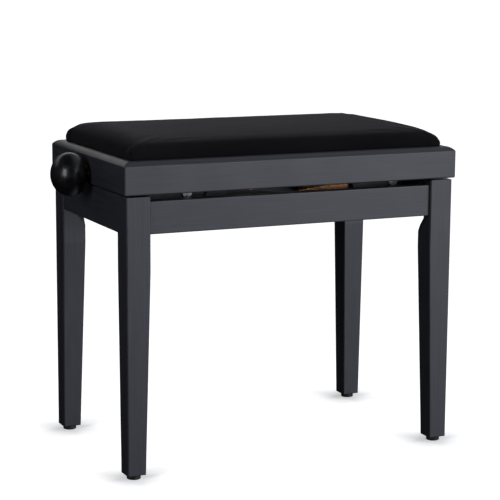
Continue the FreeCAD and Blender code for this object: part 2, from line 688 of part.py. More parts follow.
def drive_yoke():
    """Block around the nut whose fork, open below, pushes the lift shaft."""
    top = SPINDLE_Z + NUT_RADIUS + 3.0
    block = box(SLIDE_X - YOKE_X, SLIDE_X + YOKE_X, -YOKE_Y, YOKE_Y, HANGER_PLATE_Z, top)
    upright = []
    for edge in block.Edges:
        if abs(edge.tangentAt(edge.FirstParameter).z) > 0.99:
            upright.append(edge)
    block = block.makeFillet(2.0, upright)
    fork_top = HIGH_PIVOT_Z + ROD_RADIUS + FORK_TOP_PLAY - FORK_HALF
    fork = box(SLIDE_X - FORK_HALF, SLIDE_X + FORK_HALF, -YOKE_Y - 1, YOKE_Y + 1,
               HANGER_PLATE_Z - 1, fork_top)
    crown = y_cylinder(SLIDE_X, fork_top, -YOKE_Y - 1, YOKE_Y + 1, FORK_HALF)
    return block.cut(fuse([fork, crown, x_cylinder(-300, 300, NUT_RADIUS)]))


# ---- nodes --------------------------------------------------------------------------------

def leg_frame_nodes():
    nodes = {}
    every_bracket_screw = []
    every_rail_screw = []
    for side in SIDES.values():
        every_rail_screw += lower_rail_screws(side)
    for name, (sx, sy) in CORNERS.items():
        every_bracket_screw += bracket_screws(sx, sy)
        nodes["leg_" + name] = leg(sx, sy)
        nodes["foot_glide_" + name] = glide(sx, sy)
        nodes["corner_bracket_" + name] = corner_bracket(sx, sy)
    drilled = fuse(every_bracket_screw + every_rail_screw)
    nodes["apron_front"] = front_apron(-1).cut(drilled)
    nodes["apron_rear"] = front_apron(1).cut(drilled)
    nodes["apron_left"] = side_apron(-1).cut(drilled)
    nodes["apron_right"] = side_apron(1).cut(drilled)
    nodes["bracket_screws"] = group(every_bracket_screw)
    nodes["lower_rail_screws"] = group(every_rail_screw)
    nodes["hanger_bolts"] = group([hanger_bolt(*signs) for signs in CORNERS.values()])
    nodes["hanger_washers"] = group([hanger_washer(*signs) for signs in CORNERS.values()])
    nodes["hanger_nuts"] = group([hanger_nut(*signs) for signs in CORNERS.values()])
    for name, side in SIDES.items():
        nodes["lower_rail_" + name] = lower_rail(side)
    nodes["lower_pivot_rod"] = headed_rod(PIVOT_X, LOW_PIVOT_Z, WEB_Y + WEB_THICK, ROD_RADIUS)
    return nodes


def seat_nodes():
    nodes = {}
    bush_hole = x_cylinder(-300, 300, BUSH_RADIUS)
    nodes["seat_rail_front"] = seat_rail(SEAT_WIDTH, SEAT_DEPTH / 2, 0)
    nodes["seat_rail_rear"] = seat_rail(SEAT_WIDTH, SEAT_DEPTH / 2, 180)
    nodes["seat_rail_left"] = seat_rail(SEAT_DEPTH, SEAT_WIDTH / 2, -90).cut(bush_hole)
    nodes["seat_rail_right"] = seat_rail(SEAT_DEPTH, SEAT_WIDTH / 2, 90).cut(bush_hole)
    board_screws = [board_screw(*signs) for signs in CORNERS.values()]
    rail_screws = upper_rail_screws(-1) + upper_rail_screws(1)
    nodes["seat_corner_blocks"] = group([seat_corner_block(*signs) for signs in CORNERS.values()])
    nodes["seat_board"] = seat_board(board_screws + rail_screws)
    nodes["cushion"] = cushion()
    nodes["board_screws"] = group(board_screws)
    nodes["upper_rail_screws"] = group(rail_screws)
    for name, side in SIDES.items():
        nodes["upper_rail_" + name] = upper_rail(side)
    nodes["upper_pivot_rod"] = headed_rod(PIVOT_X, HIGH_PIVOT_Z, WEB_Y + WEB_THICK, ROD_RADIUS)
    nodes["spindle_bush_left"] = spindle_bush(-1)
    nodes["spindle_bush_right"] = spindle_bush(1)
    return nodes


def outer_arm_nodes():
    """Arms that are hinged on the leg frame and lift the seat through the lift shaft."""
    nodes = {}
    washers = []
    sleeves = []
    centre_x, centre_z = arm_point(ARM_LENGTH / 2, False)
    for name, side in SIDES.items():
        nodes["outer_arm_" + name] = arm(side, ARM_A_Y, False,
                                         (ROD_RADIUS + RUNNING_FIT, ROD_RADIUS, ROD_RADIUS))
        outer_face = ARM_A_Y + ARM_THICK
        washers.append(ring(side, PIVOT_X, LOW_PIVOT_Z, outer_face, WEB_Y - 0.3,
                            HEAD_RADIUS, ROD_RADIUS + RUNNING_FIT))
        washers.append(ring(side, centre_x, centre_z, ARM_B_Y + ARM_THICK + 0.3, ARM_A_Y,
                            HEAD_RADIUS, ROD_RADIUS))
        sleeves.append(slide_sleeve(side, SLIDE_X, HIGH_PIVOT_Z, outer_face))
    nodes["outer_arm_cross_tube"] = cross_tube(False, ARM_A_Y)
    nodes["lift_shaft"] = slide_rod(HIGH_PIVOT_Z)
    nodes["centre_rivets"] = group([centre_rivet(side) for side in SIDES.values()])
    nodes["outer_arm_washers"] = group(washers)
    nodes["outer_arm_sleeves"] = group(sleeves)
    return nodes


def inner_arm_nodes():
    """Arms that are hinged on the seat and slide on the leg frame."""
    nodes = {}
    spacers = []
    sleeves = []
    outer_face = ARM_B_Y + ARM_THICK
    for name, side in SIDES.items():
        nodes["inner_arm_" + name] = arm(side, ARM_B_Y, True,
                                         (ROD_RADIUS + RUNNING_FIT, ROD_RADIUS + CENTRE_PLAY, ROD_RADIUS))
        spacers.append(ring(side, PIVOT_X, HIGH_PIVOT_Z, outer_face, WEB_Y - 0.3,
                            HEAD_RADIUS, ROD_RADIUS + RUNNING_FIT))
        sleeves.append(slide_sleeve(side, SLIDE_X, LOW_PIVOT_Z, outer_face))
    nodes["inner_arm_cross_tube"] = cross_tube(True, ARM_B_Y)
    nodes["slide_rod"] = slide_rod(LOW_PIVOT_Z)
    nodes["inner_arm_spacers"] = group(spacers)
    nodes["inner_arm_sleeves"] = group(sleeves)
    return nodes


def drive_nodes():
    return {
        "lift_spindle": lift_spindle(),
        "spindle_collars": group([spindle_collar(-1), spindle_collar(1)]),
        "collar_screws": group([collar_screw(-1), collar_screw(1)]),
        "knob_left": knob(-1),
        "knob_right": knob(1),
        "knob_screws": group([knob_screw(-1), knob_screw(1)]),
        "lead_nut": lead_nut(),
        "drive_yoke": drive_yoke(),
    }


def main():
    os.makedirs("parts", exist_ok=True)
    nodes = {}
    for maker in (leg_frame_nodes, seat_nodes, outer_arm_nodes, inner_arm_nodes, drive_nodes):
        nodes.update(maker())
    for name, shape in nodes.items():
        if not shape.isValid():
            print("invalid", name)
        shape.exportStep("parts/" + name + ".step")
    print(len(nodes), "nodes; slide travel", round(SLIDE_OPEN_X - SLIDE_X, 3),
          "arm angles", round(math.degrees(REST_ANGLE), 4), round(math.degrees(OPEN_ANGLE), 4))


main()
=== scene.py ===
"""Piano bench on a scissor lift: every visible surface, laid out as an add-on.

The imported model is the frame. Cushion, lift screw, bolt threads and the stapled hem are made
here; the other nodes keep their shape and get the finish of the real piece.
"""
import math

import bmesh
import bpy
import numpy as np
from mathutils import Matrix, Vector, noise


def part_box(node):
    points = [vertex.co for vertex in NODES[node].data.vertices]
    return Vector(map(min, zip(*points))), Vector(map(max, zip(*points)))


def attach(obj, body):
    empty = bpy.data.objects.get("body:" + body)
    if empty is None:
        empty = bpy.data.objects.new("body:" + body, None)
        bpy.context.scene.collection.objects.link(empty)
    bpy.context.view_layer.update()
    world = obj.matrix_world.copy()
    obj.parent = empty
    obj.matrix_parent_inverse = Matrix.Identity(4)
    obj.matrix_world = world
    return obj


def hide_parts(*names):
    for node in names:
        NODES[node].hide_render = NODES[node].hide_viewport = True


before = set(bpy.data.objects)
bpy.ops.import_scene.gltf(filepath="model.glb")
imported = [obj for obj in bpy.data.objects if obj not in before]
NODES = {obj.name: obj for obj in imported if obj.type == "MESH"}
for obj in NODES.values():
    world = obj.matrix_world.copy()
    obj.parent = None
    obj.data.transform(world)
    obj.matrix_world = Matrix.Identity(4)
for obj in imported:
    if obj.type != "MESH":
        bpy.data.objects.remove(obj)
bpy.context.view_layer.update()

MM = 0.001
CORNERS = [f"{end}_{side}" for end in ("front", "rear") for side in ("left", "right")]

bl_info = {
    "name": "Piano Bench Looks",
    "version": (1, 0, 0),
    "blender": (4, 5, 0),
    "location": "3D View > Sidebar > Piano Bench",
    "description": "Finishes, upholstery and threads of a height-adjustable piano bench",
    "category": "Object",
}


# ---- colours and nodes ----

def rgba(code):
    """A colour written as sRGB hex, in linear light with full alpha."""
    parts = [int(code[i:i + 2], 16) / 255 for i in (1, 3, 5)]
    linear = [c / 12.92 if c <= 0.04045 else ((c + 0.055) / 1.055) ** 2.4 for c in parts]
    return (*linear, 1.0)


def shade(colour, factor):
    """The same colour, darker or lighter."""
    return (*[min(1.0, c * factor) for c in colour[:3]], 1.0)


def add(tree, kind, inputs=None, stops=None, **settings):
    """One node: its settings, the stops of its ramp, and each input as a value, a socket to link
    or a node whose first output is linked."""
    node = tree.nodes.new(kind)
    for name, value in settings.items():
        setattr(node, name, value)
    if stops:
        elements = node.color_ramp.elements
        elements.remove(elements[-1])
        elements[0].position, elements[0].color = stops[0]
        for place, colour in stops[1:]:
            elements.new(place).color = colour
    for name, value in (inputs or {}).items():
        if isinstance(value, bpy.types.Node):
            value = value.outputs[0]
        if isinstance(value, bpy.types.NodeSocket):
            tree.links.new(value, node.inputs[name])
        else:
            node.inputs[name].default_value = value
    return node


def start_finish(name, **sockets):
    """A material with object coordinates and one principled shader; returns it and its tree."""
    material = bpy.data.materials.new(name)
    material.use_nodes = True
    tree = material.node_tree
    tree.nodes.clear()
    shader = add(tree, "ShaderNodeBsdfPrincipled",
                 {key.replace("_", " "): value for key, value in sockets.items()})
    add(tree, "ShaderNodeOutputMaterial", {"Surface": shader.outputs[0]})
    add(tree, "ShaderNodeTexCoord").name = "place"
    shader.name = "shader"
    return material, tree


def speckle(tree, size, detail=2.0, rough=0.5, stretch=(1, 1, 1)):
    """Noise whose grains are size metres across, longer along an axis by its stretch."""
    place = tree.nodes["place"].outputs["Object"]
    scaled = add(tree, "ShaderNodeMapping",
                 {"Vector": place, "Scale": tuple(1 / (size * s) for s in stretch)})
    cloud = add(tree, "ShaderNodeTexNoise",
                {"Vector": scaled, "Scale": 1.0, "Detail": detail, "Roughness": rough})
    return cloud.outputs["Fac"]


def worn_edges(tree, radius, patches=None, first=0.0, last=1.0):
    """From 0 on flat faces to 1 on sharp outer edges, by how far a rounded normal turns there,
    in patches if a pattern and its two ends are given; and that normal."""
    rounded = add(tree, "ShaderNodeBevel", {"Radius": radius}, samples=6)
    flat = add(tree, "ShaderNodeNewGeometry").outputs["Normal"]
    match = add(tree, "ShaderNodeVectorMath", {0: rounded, 1: flat}, operation="DOT_PRODUCT")
    worn = add(tree, "ShaderNodeMapRange",
               {"Value": match.outputs["Value"], "From Min": 0.985, "From Max": 0.80})
    if patches:
        share = add(tree, "ShaderNodeMapRange",
                    {"Value": patches, "From Min": first, "From Max": last})
        worn = add(tree, "ShaderNodeMath", {0: worn, 1: share}, operation="MULTIPLY")
    return worn.outputs[0], rounded.outputs[0]


NOISE_ENDS = (0.3, 0.7)      # noise seldom passes these


def lead(tree, base, layers, rough=None, bumps=(), normal=None):
    """Leads the shader's colour, roughness and normal by patterns.

    A layer is a colour, its pattern, the most that it covers and, where they aren't the usual
    ones, the pattern's two ends. Roughness is a pattern with the smoothest and the roughest
    value. A bump is a pattern, its depth in metres and its strength. Layers and bumps each lie
    on the one before.
    """
    sockets = tree.nodes["shader"].inputs
    for colour, pattern, cover, *ends in layers:
        first, last = ends or NOISE_ENDS
        share = add(tree, "ShaderNodeMapRange", {"Value": pattern, "From Min": first,
                                                 "From Max": last, "To Max": cover})
        base = add(tree, "ShaderNodeMix", {0: share, 6: base, 7: colour},
                   data_type="RGBA").outputs[2]
    tree.links.new(base, sockets["Base Color"])
    if rough:
        pattern, smoothest, roughest = rough
        level = add(tree, "ShaderNodeMapRange", {
            "Value": pattern, "From Min": NOISE_ENDS[0], "From Max": NOISE_ENDS[1],
            "To Min": smoothest, "To Max": roughest})
        tree.links.new(level.outputs[0], sockets["Roughness"])
    for pattern, depth, strength in bumps:
        inputs = {"Height": pattern, "Distance": depth, "Strength": strength}
        if normal:
            inputs["Normal"] = normal
        normal = add(tree, "ShaderNodeBump", inputs).outputs[0]
    if normal:
        tree.links.new(normal, sockets["Normal"])


# ---- finishes ----

def lacquered_beech(name, along, colour):
    """Beech, sanded, stained black and sprayed with satin lacquer.

    The eye gets a charcoal sheen with a faint long grain, slightly browner and duller where
    the film is thin along the edges.
    """
    stretch = tuple(60.0 if axis == along else 1.0 for axis in "XYZ")
    material, tree = start_finish(name, IOR=1.5, Specular_IOR_Level=0.5)
    grain = speckle(tree, 1.4 * MM, 3.0, 0.6, stretch)
    cloud = speckle(tree, 70 * MM, 2.0)
    fine = speckle(tree, 1.1 * MM, 1.0)
    worn, rounded = worn_edges(tree, 1.6 * MM, speckle(tree, 6 * MM, 3.0), 0.42, 0.62)
    thin = 0.5      # how much of the film the worn edges lose
    lead(tree, shade(colour, 0.72),
         [(shade(colour, 1.34), grain, 1, 0.35, 0.65), (shade(colour, 1.15), cloud, 0.35),
          (rgba("#5A544E"), worn, thin, 0, 1)],
         (cloud, 0.33, 0.41), [(fine, 0.025 * MM, 0.5), (grain, 0.05 * MM, 0.6)], rounded)
    roughness = tree.nodes["shader"].inputs["Roughness"]
    satin = roughness.links[0].from_socket
    dulled = add(tree, "ShaderNodeMath", {0: worn, 1: thin, 2: satin}, operation="MULTIPLY_ADD")
    tree.links.new(dulled.outputs[0], roughness)
    return material


def cotton_velvet(colour, sheen):
    """Cotton velvet, woven with a dense upright pile.

    The eye gets a light-swallowing black with a pale bloom where the pile is seen from the
    side, and soft patches where hands have brushed it. Real pile tufts are 0.3 mm; the tufts
    here are 1.2 mm so that they show.
    """
    material, tree = start_finish("cotton_velvet", Roughness=0.95, IOR=1.45,
                                  Specular_IOR_Level=0.12, Sheen_Weight=sheen, Sheen_Roughness=0.42,
                                  Sheen_Tint=rgba("#D8D4DC"))
    tuft = speckle(tree, 1.2 * MM, 2.0, 0.65)
    brushed = speckle(tree, 55 * MM, 3.0, 0.5, (2.2, 1.0, 1.0))
    streak = speckle(tree, 9 * MM, 2.0, 0.5, (3.5, 1.0, 1.0))
    lead(tree, shade(colour, 0.62),
         [(shade(colour, 1.45), brushed, 1, 0.35, 0.65), (shade(colour, 0.8), streak, 0.4),
          (shade(colour, 1.9), tuft, 0.55, 0.35, 0.65)],
         bumps=[(brushed, 1.2 * MM, 0.35), (streak, 0.5 * MM, 0.35), (tuft, 0.35 * MM, 0.7)])
    return material


def velvet_back(colour):
    """Woven cotton back of the velvet, folded under the board: a flat, matt, open weave. Real
    threads are 0.4 mm apart; the weave here is coarser so that it shows."""
    material, tree = start_finish("velvet_back", Roughness=0.92, IOR=1.45, Specular_IOR_Level=0.25,
                                  Sheen_Weight=0.15)
    place = tree.nodes["place"].outputs["Object"]
    warp, weft = (add(tree, "ShaderNodeTexWave",
                      {"Vector": place, "Scale": 1 / (4.2 * MM), "Distortion": 1.2},
                      bands_direction=way).outputs["Fac"] for way in "XY")
    woven = add(tree, "ShaderNodeMath", {0: warp, 1: weft}, operation="MULTIPLY").outputs[0]
    fluff = speckle(tree, 12 * MM, 3.0)
    lead(tree, shade(colour, 1.2),
         [(shade(colour, 2.6), woven, 1, 0, 1), (shade(colour, 3.2), fluff, 0.5)],
         bumps=[(woven, 0.25 * MM, 0.8)])
    return material


def phenolic(colour):
    """Phenolic resin, pressed and tumbled: a deep black with a soft satin highlight, a little
    mottled, rubbed smoother where fingers turn it."""
    material, tree = start_finish("tumbled_phenolic", IOR=1.55, Specular_IOR_Level=0.34)
    mottle = speckle(tree, 8 * MM, 3.0)
    grit = speckle(tree, 0.9 * MM, 2.0)
    rounded = add(tree, "ShaderNodeBevel", {"Radius": 0.8 * MM}, samples=6)
    lead(tree, shade(colour, 0.8), [(shade(colour, 1.5), mottle, 1)],
         (mottle, 0.27, 0.36), [(grit, 0.02 * MM, 0.5)], rounded)
    return material


def moulded_plastic():
    """Polyethylene, injection-moulded with a fine grained face: matt black, greyer with floor
    dust and scuffs towards the edges."""
    material, tree = start_finish("grained_polyethylene", IOR=1.51, Specular_IOR_Level=0.4)
    grain = speckle(tree, 0.8 * MM, 2.0)
    dust = speckle(tree, 5 * MM, 3.0)
    worn, rounded = worn_edges(tree, 0.8 * MM)
    lead(tree, rgba("#151516"),
         [(rgba("#262626"), dust, 1), (rgba("#4A4845"), worn, 0.5, 0, 1)],
         (grain, 0.5, 0.65), [(grain, 0.06 * MM, 0.6)], rounded)
    return material


def yellow_passivated(colour):
    """Steel, cold rolled, zinc plated and yellow passivated.

    The eye gets gold that drifts into pink, copper and green in cloudy patches, with fine
    rolling lines, paler where the film is rubbed off the edges.
    """
    material, tree = start_finish("yellow_passivated_zinc", Metallic=1.0)
    drift = speckle(tree, 16 * MM, 3.0, 0.55)
    rolled = speckle(tree, 0.7 * MM, 2.0, 0.5, (30.0, 1.0, 1.0))
    film = add(tree, "ShaderNodeValToRGB", {"Fac": drift}, stops=[
        (0.30, rgba("#9C7B45")), (0.42, colour), (0.50, rgba("#C98F5E")),
        (0.58, rgba("#C07A6A")), (0.66, rgba("#A9B568")), (0.75, rgba("#D9C27C"))])
    worn, rounded = worn_edges(tree, 0.8 * MM)
    lead(tree, film, [(rgba("#D6D2C4"), worn, 0.45, 0, 1)],
         (rolled, 0.24, 0.40), [(rolled, 0.02 * MM, 0.5)], rounded)
    return material


def bright_zinc():
    """Steel, turned or headed, zinc plated and blue passivated: silvery with a faint blue
    cloud and fine tool marks."""
    material, tree = start_finish("bright_zinc_steel", Metallic=1.0)
    cloud = speckle(tree, 9 * MM, 3.0)
    marks = speckle(tree, 0.5 * MM, 2.0, 0.6, (1.0, 4.0, 4.0))
    rounded = add(tree, "ShaderNodeBevel", {"Radius": 0.4 * MM}, samples=6)
    lead(tree, rgba("#B9BDC4"),
         [(rgba("#D9DADC"), cloud, 1), (rgba("#8F939A"), marks, 0.35)],
         (cloud, 0.22, 0.36), [(marks, 0.015 * MM, 0.5)], rounded)
    return material


def stove_enamel(name, colour):
    """Sheet steel, pressed and stove enamelled: grey-black with orange peel, and bare metal
    showing at the sheared edges."""
    material, tree = start_finish(name, IOR=1.52, Specular_IOR_Level=0.5)
    peel = speckle(tree, 1.6 * MM, 2.0)
    cloud = speckle(tree, 35 * MM, 3.0)
    chips = speckle(tree, 3 * MM, 3.0, 0.6)
    chipped, rounded = worn_edges(tree, 0.7 * MM, chips, 0.5, 0.58)
    lead(tree, shade(colour, 0.8),
         [(shade(colour, 1.3), cloud, 1), (rgba("#8C8E92"), chipped, 1, 0, 1)],
         (cloud, 0.30, 0.42), [(peel, 0.05 * MM, 0.5)], rounded)
    tree.links.new(chipped, tree.nodes["shader"].inputs["Metallic"])
    return material


def turned_brass():
    """Free-cutting brass, turned: warm yellow with fine rings and a brown cast in patches."""
    material, tree = start_finish("turned_brass", Metallic=1.0)
    rings = speckle(tree, 0.35 * MM, 1.0, 0.5, (1.0, 40.0, 40.0))
    tarnish = speckle(tree, 6 * MM, 3.0)
    rounded = add(tree, "ShaderNodeBevel", {"Radius": 0.5 * MM}, samples=6)
    lead(tree, rgba("#D8B566"), [(rgba("#A67F3F"), tarnish, 0.8)],
         (tarnish, 0.2, 0.38), [(rings, 0.02 * MM, 0.6)], rounded)
    return material


def natural_nylon():
    """Nylon, moulded without dye: milky off-white, slightly see-through, greasy from the slot."""
    material, tree = start_finish("natural_nylon", IOR=1.53, Subsurface_Weight=0.25,
                                  Subsurface_Scale=2 * MM)
    grease = speckle(tree, 4 * MM, 3.0)
    lead(tree, rgba("#E6E2D4"), [(rgba("#B9B3A0"), grease, 1)],
         (grease, 0.32, 0.48), [(grease, 0.04 * MM, 0.4)])
    return material


def sawn_spruce():
    """Spruce, sawn and left bare: dry and pale, with darker upright grain and open pores."""
    material, tree = start_finish("sawn_spruce", IOR=1.5, Specular_IOR_Level=0.25)
    dark = rgba("#B08A55")
    grain = speckle(tree, 2.2 * MM, 4.0, 0.6, (1.0, 1.0, 45.0))
    patch = speckle(tree, 60 * MM, 2.0, 0.5, (4.0, 1.0, 1.0))
    pores = speckle(tree, 0.6 * MM, 1.0, 0.5, (1.0, 1.0, 9.0))
    lead(tree, rgba("#DCC08F"),
         [(dark, grain, 1, 0.36, 0.64), (shade(dark, 0.85), patch, 0.4),
          (shade(dark, 0.5), pores, 0.5, 0.58, 0.7)],
         (grain, 0.6, 0.8), [(grain, 0.12 * MM, 0.7)])
    return material


def plywood(cover, wrapped_from):
    """Birch plywood: a pale underside with a flowing grain and short darker flecks; above the
    given height its edges and top are wrapped in the black cover."""
    material, tree = start_finish("birch_plywood", IOR=1.5, Specular_IOR_Level=0.25)
    figure = speckle(tree, 5 * MM, 4.0, 0.6, (14.0, 1.0, 1.0))
    fleck = speckle(tree, 0.8 * MM, 2.0, 0.5, (12.0, 1.0, 1.0))
    place = tree.nodes["place"].outputs["Object"]
    level = add(tree, "ShaderNodeSeparateXYZ", {0: place}).outputs["Z"]
    lead(tree, rgba("#D8BC90"),
         [(rgba("#B8925F"), figure, 1), (rgba("#8A6238"), fleck, 0.5, 0.55, 0.7),
          (shade(cover, 1.2), level, 1, wrapped_from, wrapped_from + 0.3 * MM)],
         (figure, 0.6, 0.78), [(figure, 0.15 * MM, 0.7)])
    return material


# ---- settings that a user may change ----

def colour_setting(name, description, code):
    return bpy.props.FloatVectorProperty(name=name, description=description, subtype="COLOR",
                                         size=4, min=0.0, max=1.0, default=rgba(code))


def length_setting(name, description, millimetres):
    return bpy.props.FloatProperty(name=name, description=description, subtype="DISTANCE",
                                   unit="LENGTH", min=0.0, default=millimetres * MM)


class BenchColours(bpy.types.PropertyGroup):
    lacquer: colour_setting("Lacquer", "Black satin lacquer on all the beech parts", "#27282E")
    velvet: colour_setting("Velvet", "Pile of the seat cover", "#0D0D0F")
    knob: colour_setting("Knob", "Phenolic resin of the two knobs", "#0E0E10")
    film: colour_setting("Passivation", "Main tone of the yellow zinc film", "#C6A255")
    enamel: colour_setting("Enamel", "Stove enamel on the lift's rails", "#34353A")


class BenchCushion(bpy.types.PropertyGroup):
    voxel: length_setting("Remesh size", "Edge of the voxels that the pad is remeshed with", 4.0)
    corner_radius: length_setting("Corner radius", "Radius of the pad's upright corners", 3.5)
    shrink: length_setting("Start below", "How much the pad starts inside its final skin", 2.0)
    swell: length_setting("Swell limit", "Furthest that the filling may push the cover", 5.0)
    end_fall: length_setting("End fall", "How far the cover rolls down at the two ends", 14.5)
    end_reach: length_setting("End reach", "How far in from an end it has mostly risen", 17.0)
    front_seam: length_setting("Front seam", "How far the cover turns down at the front", 12.0)
    front_fall: length_setting("Front fall", "How far the crown sinks towards the front", 9.5)
    front_reach: length_setting("Front reach", "How far in from the front it has mostly risen", 58.0)
    rear_seam: length_setting("Rear seam", "How far the cover turns down at the rear", 10.0)
    rear_fall: length_setting("Rear fall", "How far the crown sinks towards the rear", 5.9)
    rear_reach: length_setting("Rear reach", "How far in from the rear it has mostly risen", 28.0)
    corner_fall: length_setting("Corner fall", "Most that the cover comes down, at a corner", 20.5)
    pressure: bpy.props.FloatProperty(name="Pressure", description="Push of the filling on the cover",
                                      min=0.0, max=20.0, default=4.0)
    fill: bpy.props.FloatProperty(name="Fill", description="How full the pad is, 0 slack to 1 tight",
                                  subtype="FACTOR", min=0.0, max=1.0, default=0.85)
    sheen: bpy.props.FloatProperty(name="Sheen", description="Bloom of the pile seen from the side",
                                   subtype="FACTOR", min=0.0, max=1.0, default=0.05)


class BenchThreads(bpy.types.PropertyGroup):
    screw_pitch: length_setting("Lift screw pitch", "Rise of one turn of the M12 lift screw", 2.0)
    bolt_pitch: length_setting("Bolt pitch", "Rise of one turn of the M8 hanger bolts", 1.25)
    staple_step: length_setting("Staple spacing", "Distance between staples on the hem", 24.0)
    hem_width: length_setting("Hem width", "How far the cover is folded under the board", 15.0)


# ---- mesh helpers ----

def placed(name, data):
    """An object with the given data, linked to the scene."""
    made = bpy.data.objects.new(name, data)
    bpy.context.scene.collection.objects.link(made)
    return made


def piece(name, mesh, body, material, *replaced):
    """Links a finished mesh as a piece that rides on a body and stands for CAD nodes."""
    mesh.name = name
    made = placed(name, mesh)
    mesh.materials.clear()
    mesh.materials.append(material)
    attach(made, body)
    if replaced:
        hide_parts(*replaced)
    return made


def as_mesh(solid, name):
    """A bmesh as plain mesh data; the bmesh itself is freed."""
    mesh = bpy.data.meshes.new(name)
    solid.to_mesh(mesh)
    solid.free()
    return mesh


def coordinates(mesh):
    flat = np.empty(len(mesh.vertices) * 3)
    mesh.vertices.foreach_get("co", flat)
    return flat.reshape(-1, 3)


def set_coordinates(mesh, points):
    mesh.vertices.foreach_set("co", np.ascontiguousarray(points, dtype=np.float32).ravel())
    mesh.update()


def baked(carrier):
    """The carrier's evaluated mesh as plain data; the carrier itself is removed."""
    graph = bpy.context.evaluated_depsgraph_get()
    mesh = bpy.data.meshes.new_from_object(carrier.evaluated_get(graph), depsgraph=graph)
    bpy.data.objects.remove(carrier)
    return mesh


def smooth(mesh, angle=35.0):
    """Smooth faces, with edges sharper than the angle kept crisp."""
    mesh.polygons.foreach_set("use_smooth", [True] * len(mesh.polygons))
    mesh.set_sharp_from_angle(angle=math.radians(angle))


def dress(material, *nodes):
    """Gives carried-over nodes their finish."""
    for name in nodes:
        for slot in NODES[name].material_slots:
            slot.material = material


# ---- geometry nodes ----

def tree_with(name, **sockets):
    """A geometry tree with a Geometry input and named number inputs; returns the tree, its
    inputs and its result."""
    tree = bpy.data.node_groups.new(name, "GeometryNodeTree")
    tree.interface.new_socket("Geometry", in_out="INPUT", socket_type="NodeSocketGeometry")
    for label, value in sockets.items():
        kind = "NodeSocketInt" if isinstance(value, int) else "NodeSocketFloat"
        socket = tree.interface.new_socket(label.replace("_", " "), in_out="INPUT", socket_type=kind)
        socket.default_value = value
    tree.interface.new_socket("Geometry", in_out="OUTPUT", socket_type="NodeSocketGeometry")
    return tree, add(tree, "NodeGroupInput").outputs, add(tree, "NodeGroupOutput").inputs[0]


def grown(tree, start_mesh, values):
    """Runs a geometry tree on a mesh, with inputs set by identifier, and returns a plain mesh."""
    carrier = placed("carrier", start_mesh)
    modifier = carrier.modifiers.new("nodes", "NODES")
    modifier.node_group = tree
    for socket in tree.interface.items_tree:
        if socket.in_out == "INPUT" and socket.name in values:
            modifier[socket.identifier] = values[socket.name]
    return baked(carrier)


def set_out(tree, result, points, shape, turn, material):
    """Puts the shape on the points, realises it, coats it and ends the tree there."""
    spread = add(tree, "GeometryNodeInstanceOnPoints",
                 {"Points": points, "Instance": shape, "Rotation": turn})
    whole = add(tree, "GeometryNodeRealizeInstances", {0: spread})
    coated = add(tree, "GeometryNodeSetMaterial", {"Geometry": whole, "Material": material})
    tree.links.new(coated.outputs[0], result)
    return tree


def thread_tree(material):
    """Threaded rods: one on each point of the input, along the point's own turned Z axis.

    A small ridge follows a helix round a core rod; both are realised and get the finish.
    """
    tree, given, result = tree_with("threaded_rod", Radius=6 * MM, Pitch=2 * MM, Length=0.16,
                                    Depth=0.9 * MM, Steps=22)
    length, pitch, depth = given["Length"], given["Pitch"], given["Depth"]
    turns = add(tree, "ShaderNodeMath", {0: length, 1: pitch}, operation="DIVIDE")
    inner = add(tree, "ShaderNodeMath", {0: given["Radius"], 1: depth}, operation="SUBTRACT")
    middle = add(tree, "ShaderNodeMath", {0: length, 1: 0.5}, operation="MULTIPLY")
    foot = add(tree, "ShaderNodeMath", {0: pitch, 1: 0.46}, operation="MULTIPLY")
    broad = add(tree, "ShaderNodeMath", {0: foot, 1: depth}, operation="DIVIDE")
    helix = add(tree, "GeometryNodeCurveSpiral", {
        "Resolution": given["Steps"], "Rotations": turns, "Start Radius": inner,
        "End Radius": inner, "Height": length})
    ridge = add(tree, "GeometryNodeCurvePrimitiveCircle", {"Resolution": 3, "Radius": depth})
    wide = add(tree, "GeometryNodeTransform", {
        "Geometry": ridge, "Scale": add(tree, "ShaderNodeCombineXYZ", {0: 1.0, 1: broad, 2: 1.0})})
    swept = add(tree, "GeometryNodeCurveToMesh",
                {"Curve": helix, "Profile Curve": wide, "Fill Caps": True})
    core = add(tree, "GeometryNodeMeshCylinder", {"Vertices": 32, "Radius": inner, "Depth": length})
    raised = add(tree, "GeometryNodeTransform", {
        "Geometry": core, "Translation": add(tree, "ShaderNodeCombineXYZ", {2: middle})})
    rod = add(tree, "GeometryNodeJoinGeometry")
    for part in (swept, raised):
        tree.links.new(part.outputs[0], rod.inputs[0])
    turn = add(tree, "GeometryNodeInputNamedAttribute", {"Name": "turn"}, data_type="FLOAT_VECTOR")
    turned = add(tree, "FunctionNodeEulerToRotation", {0: turn.outputs["Attribute"]})
    return set_out(tree, result, given["Geometry"], rod, turned, material)


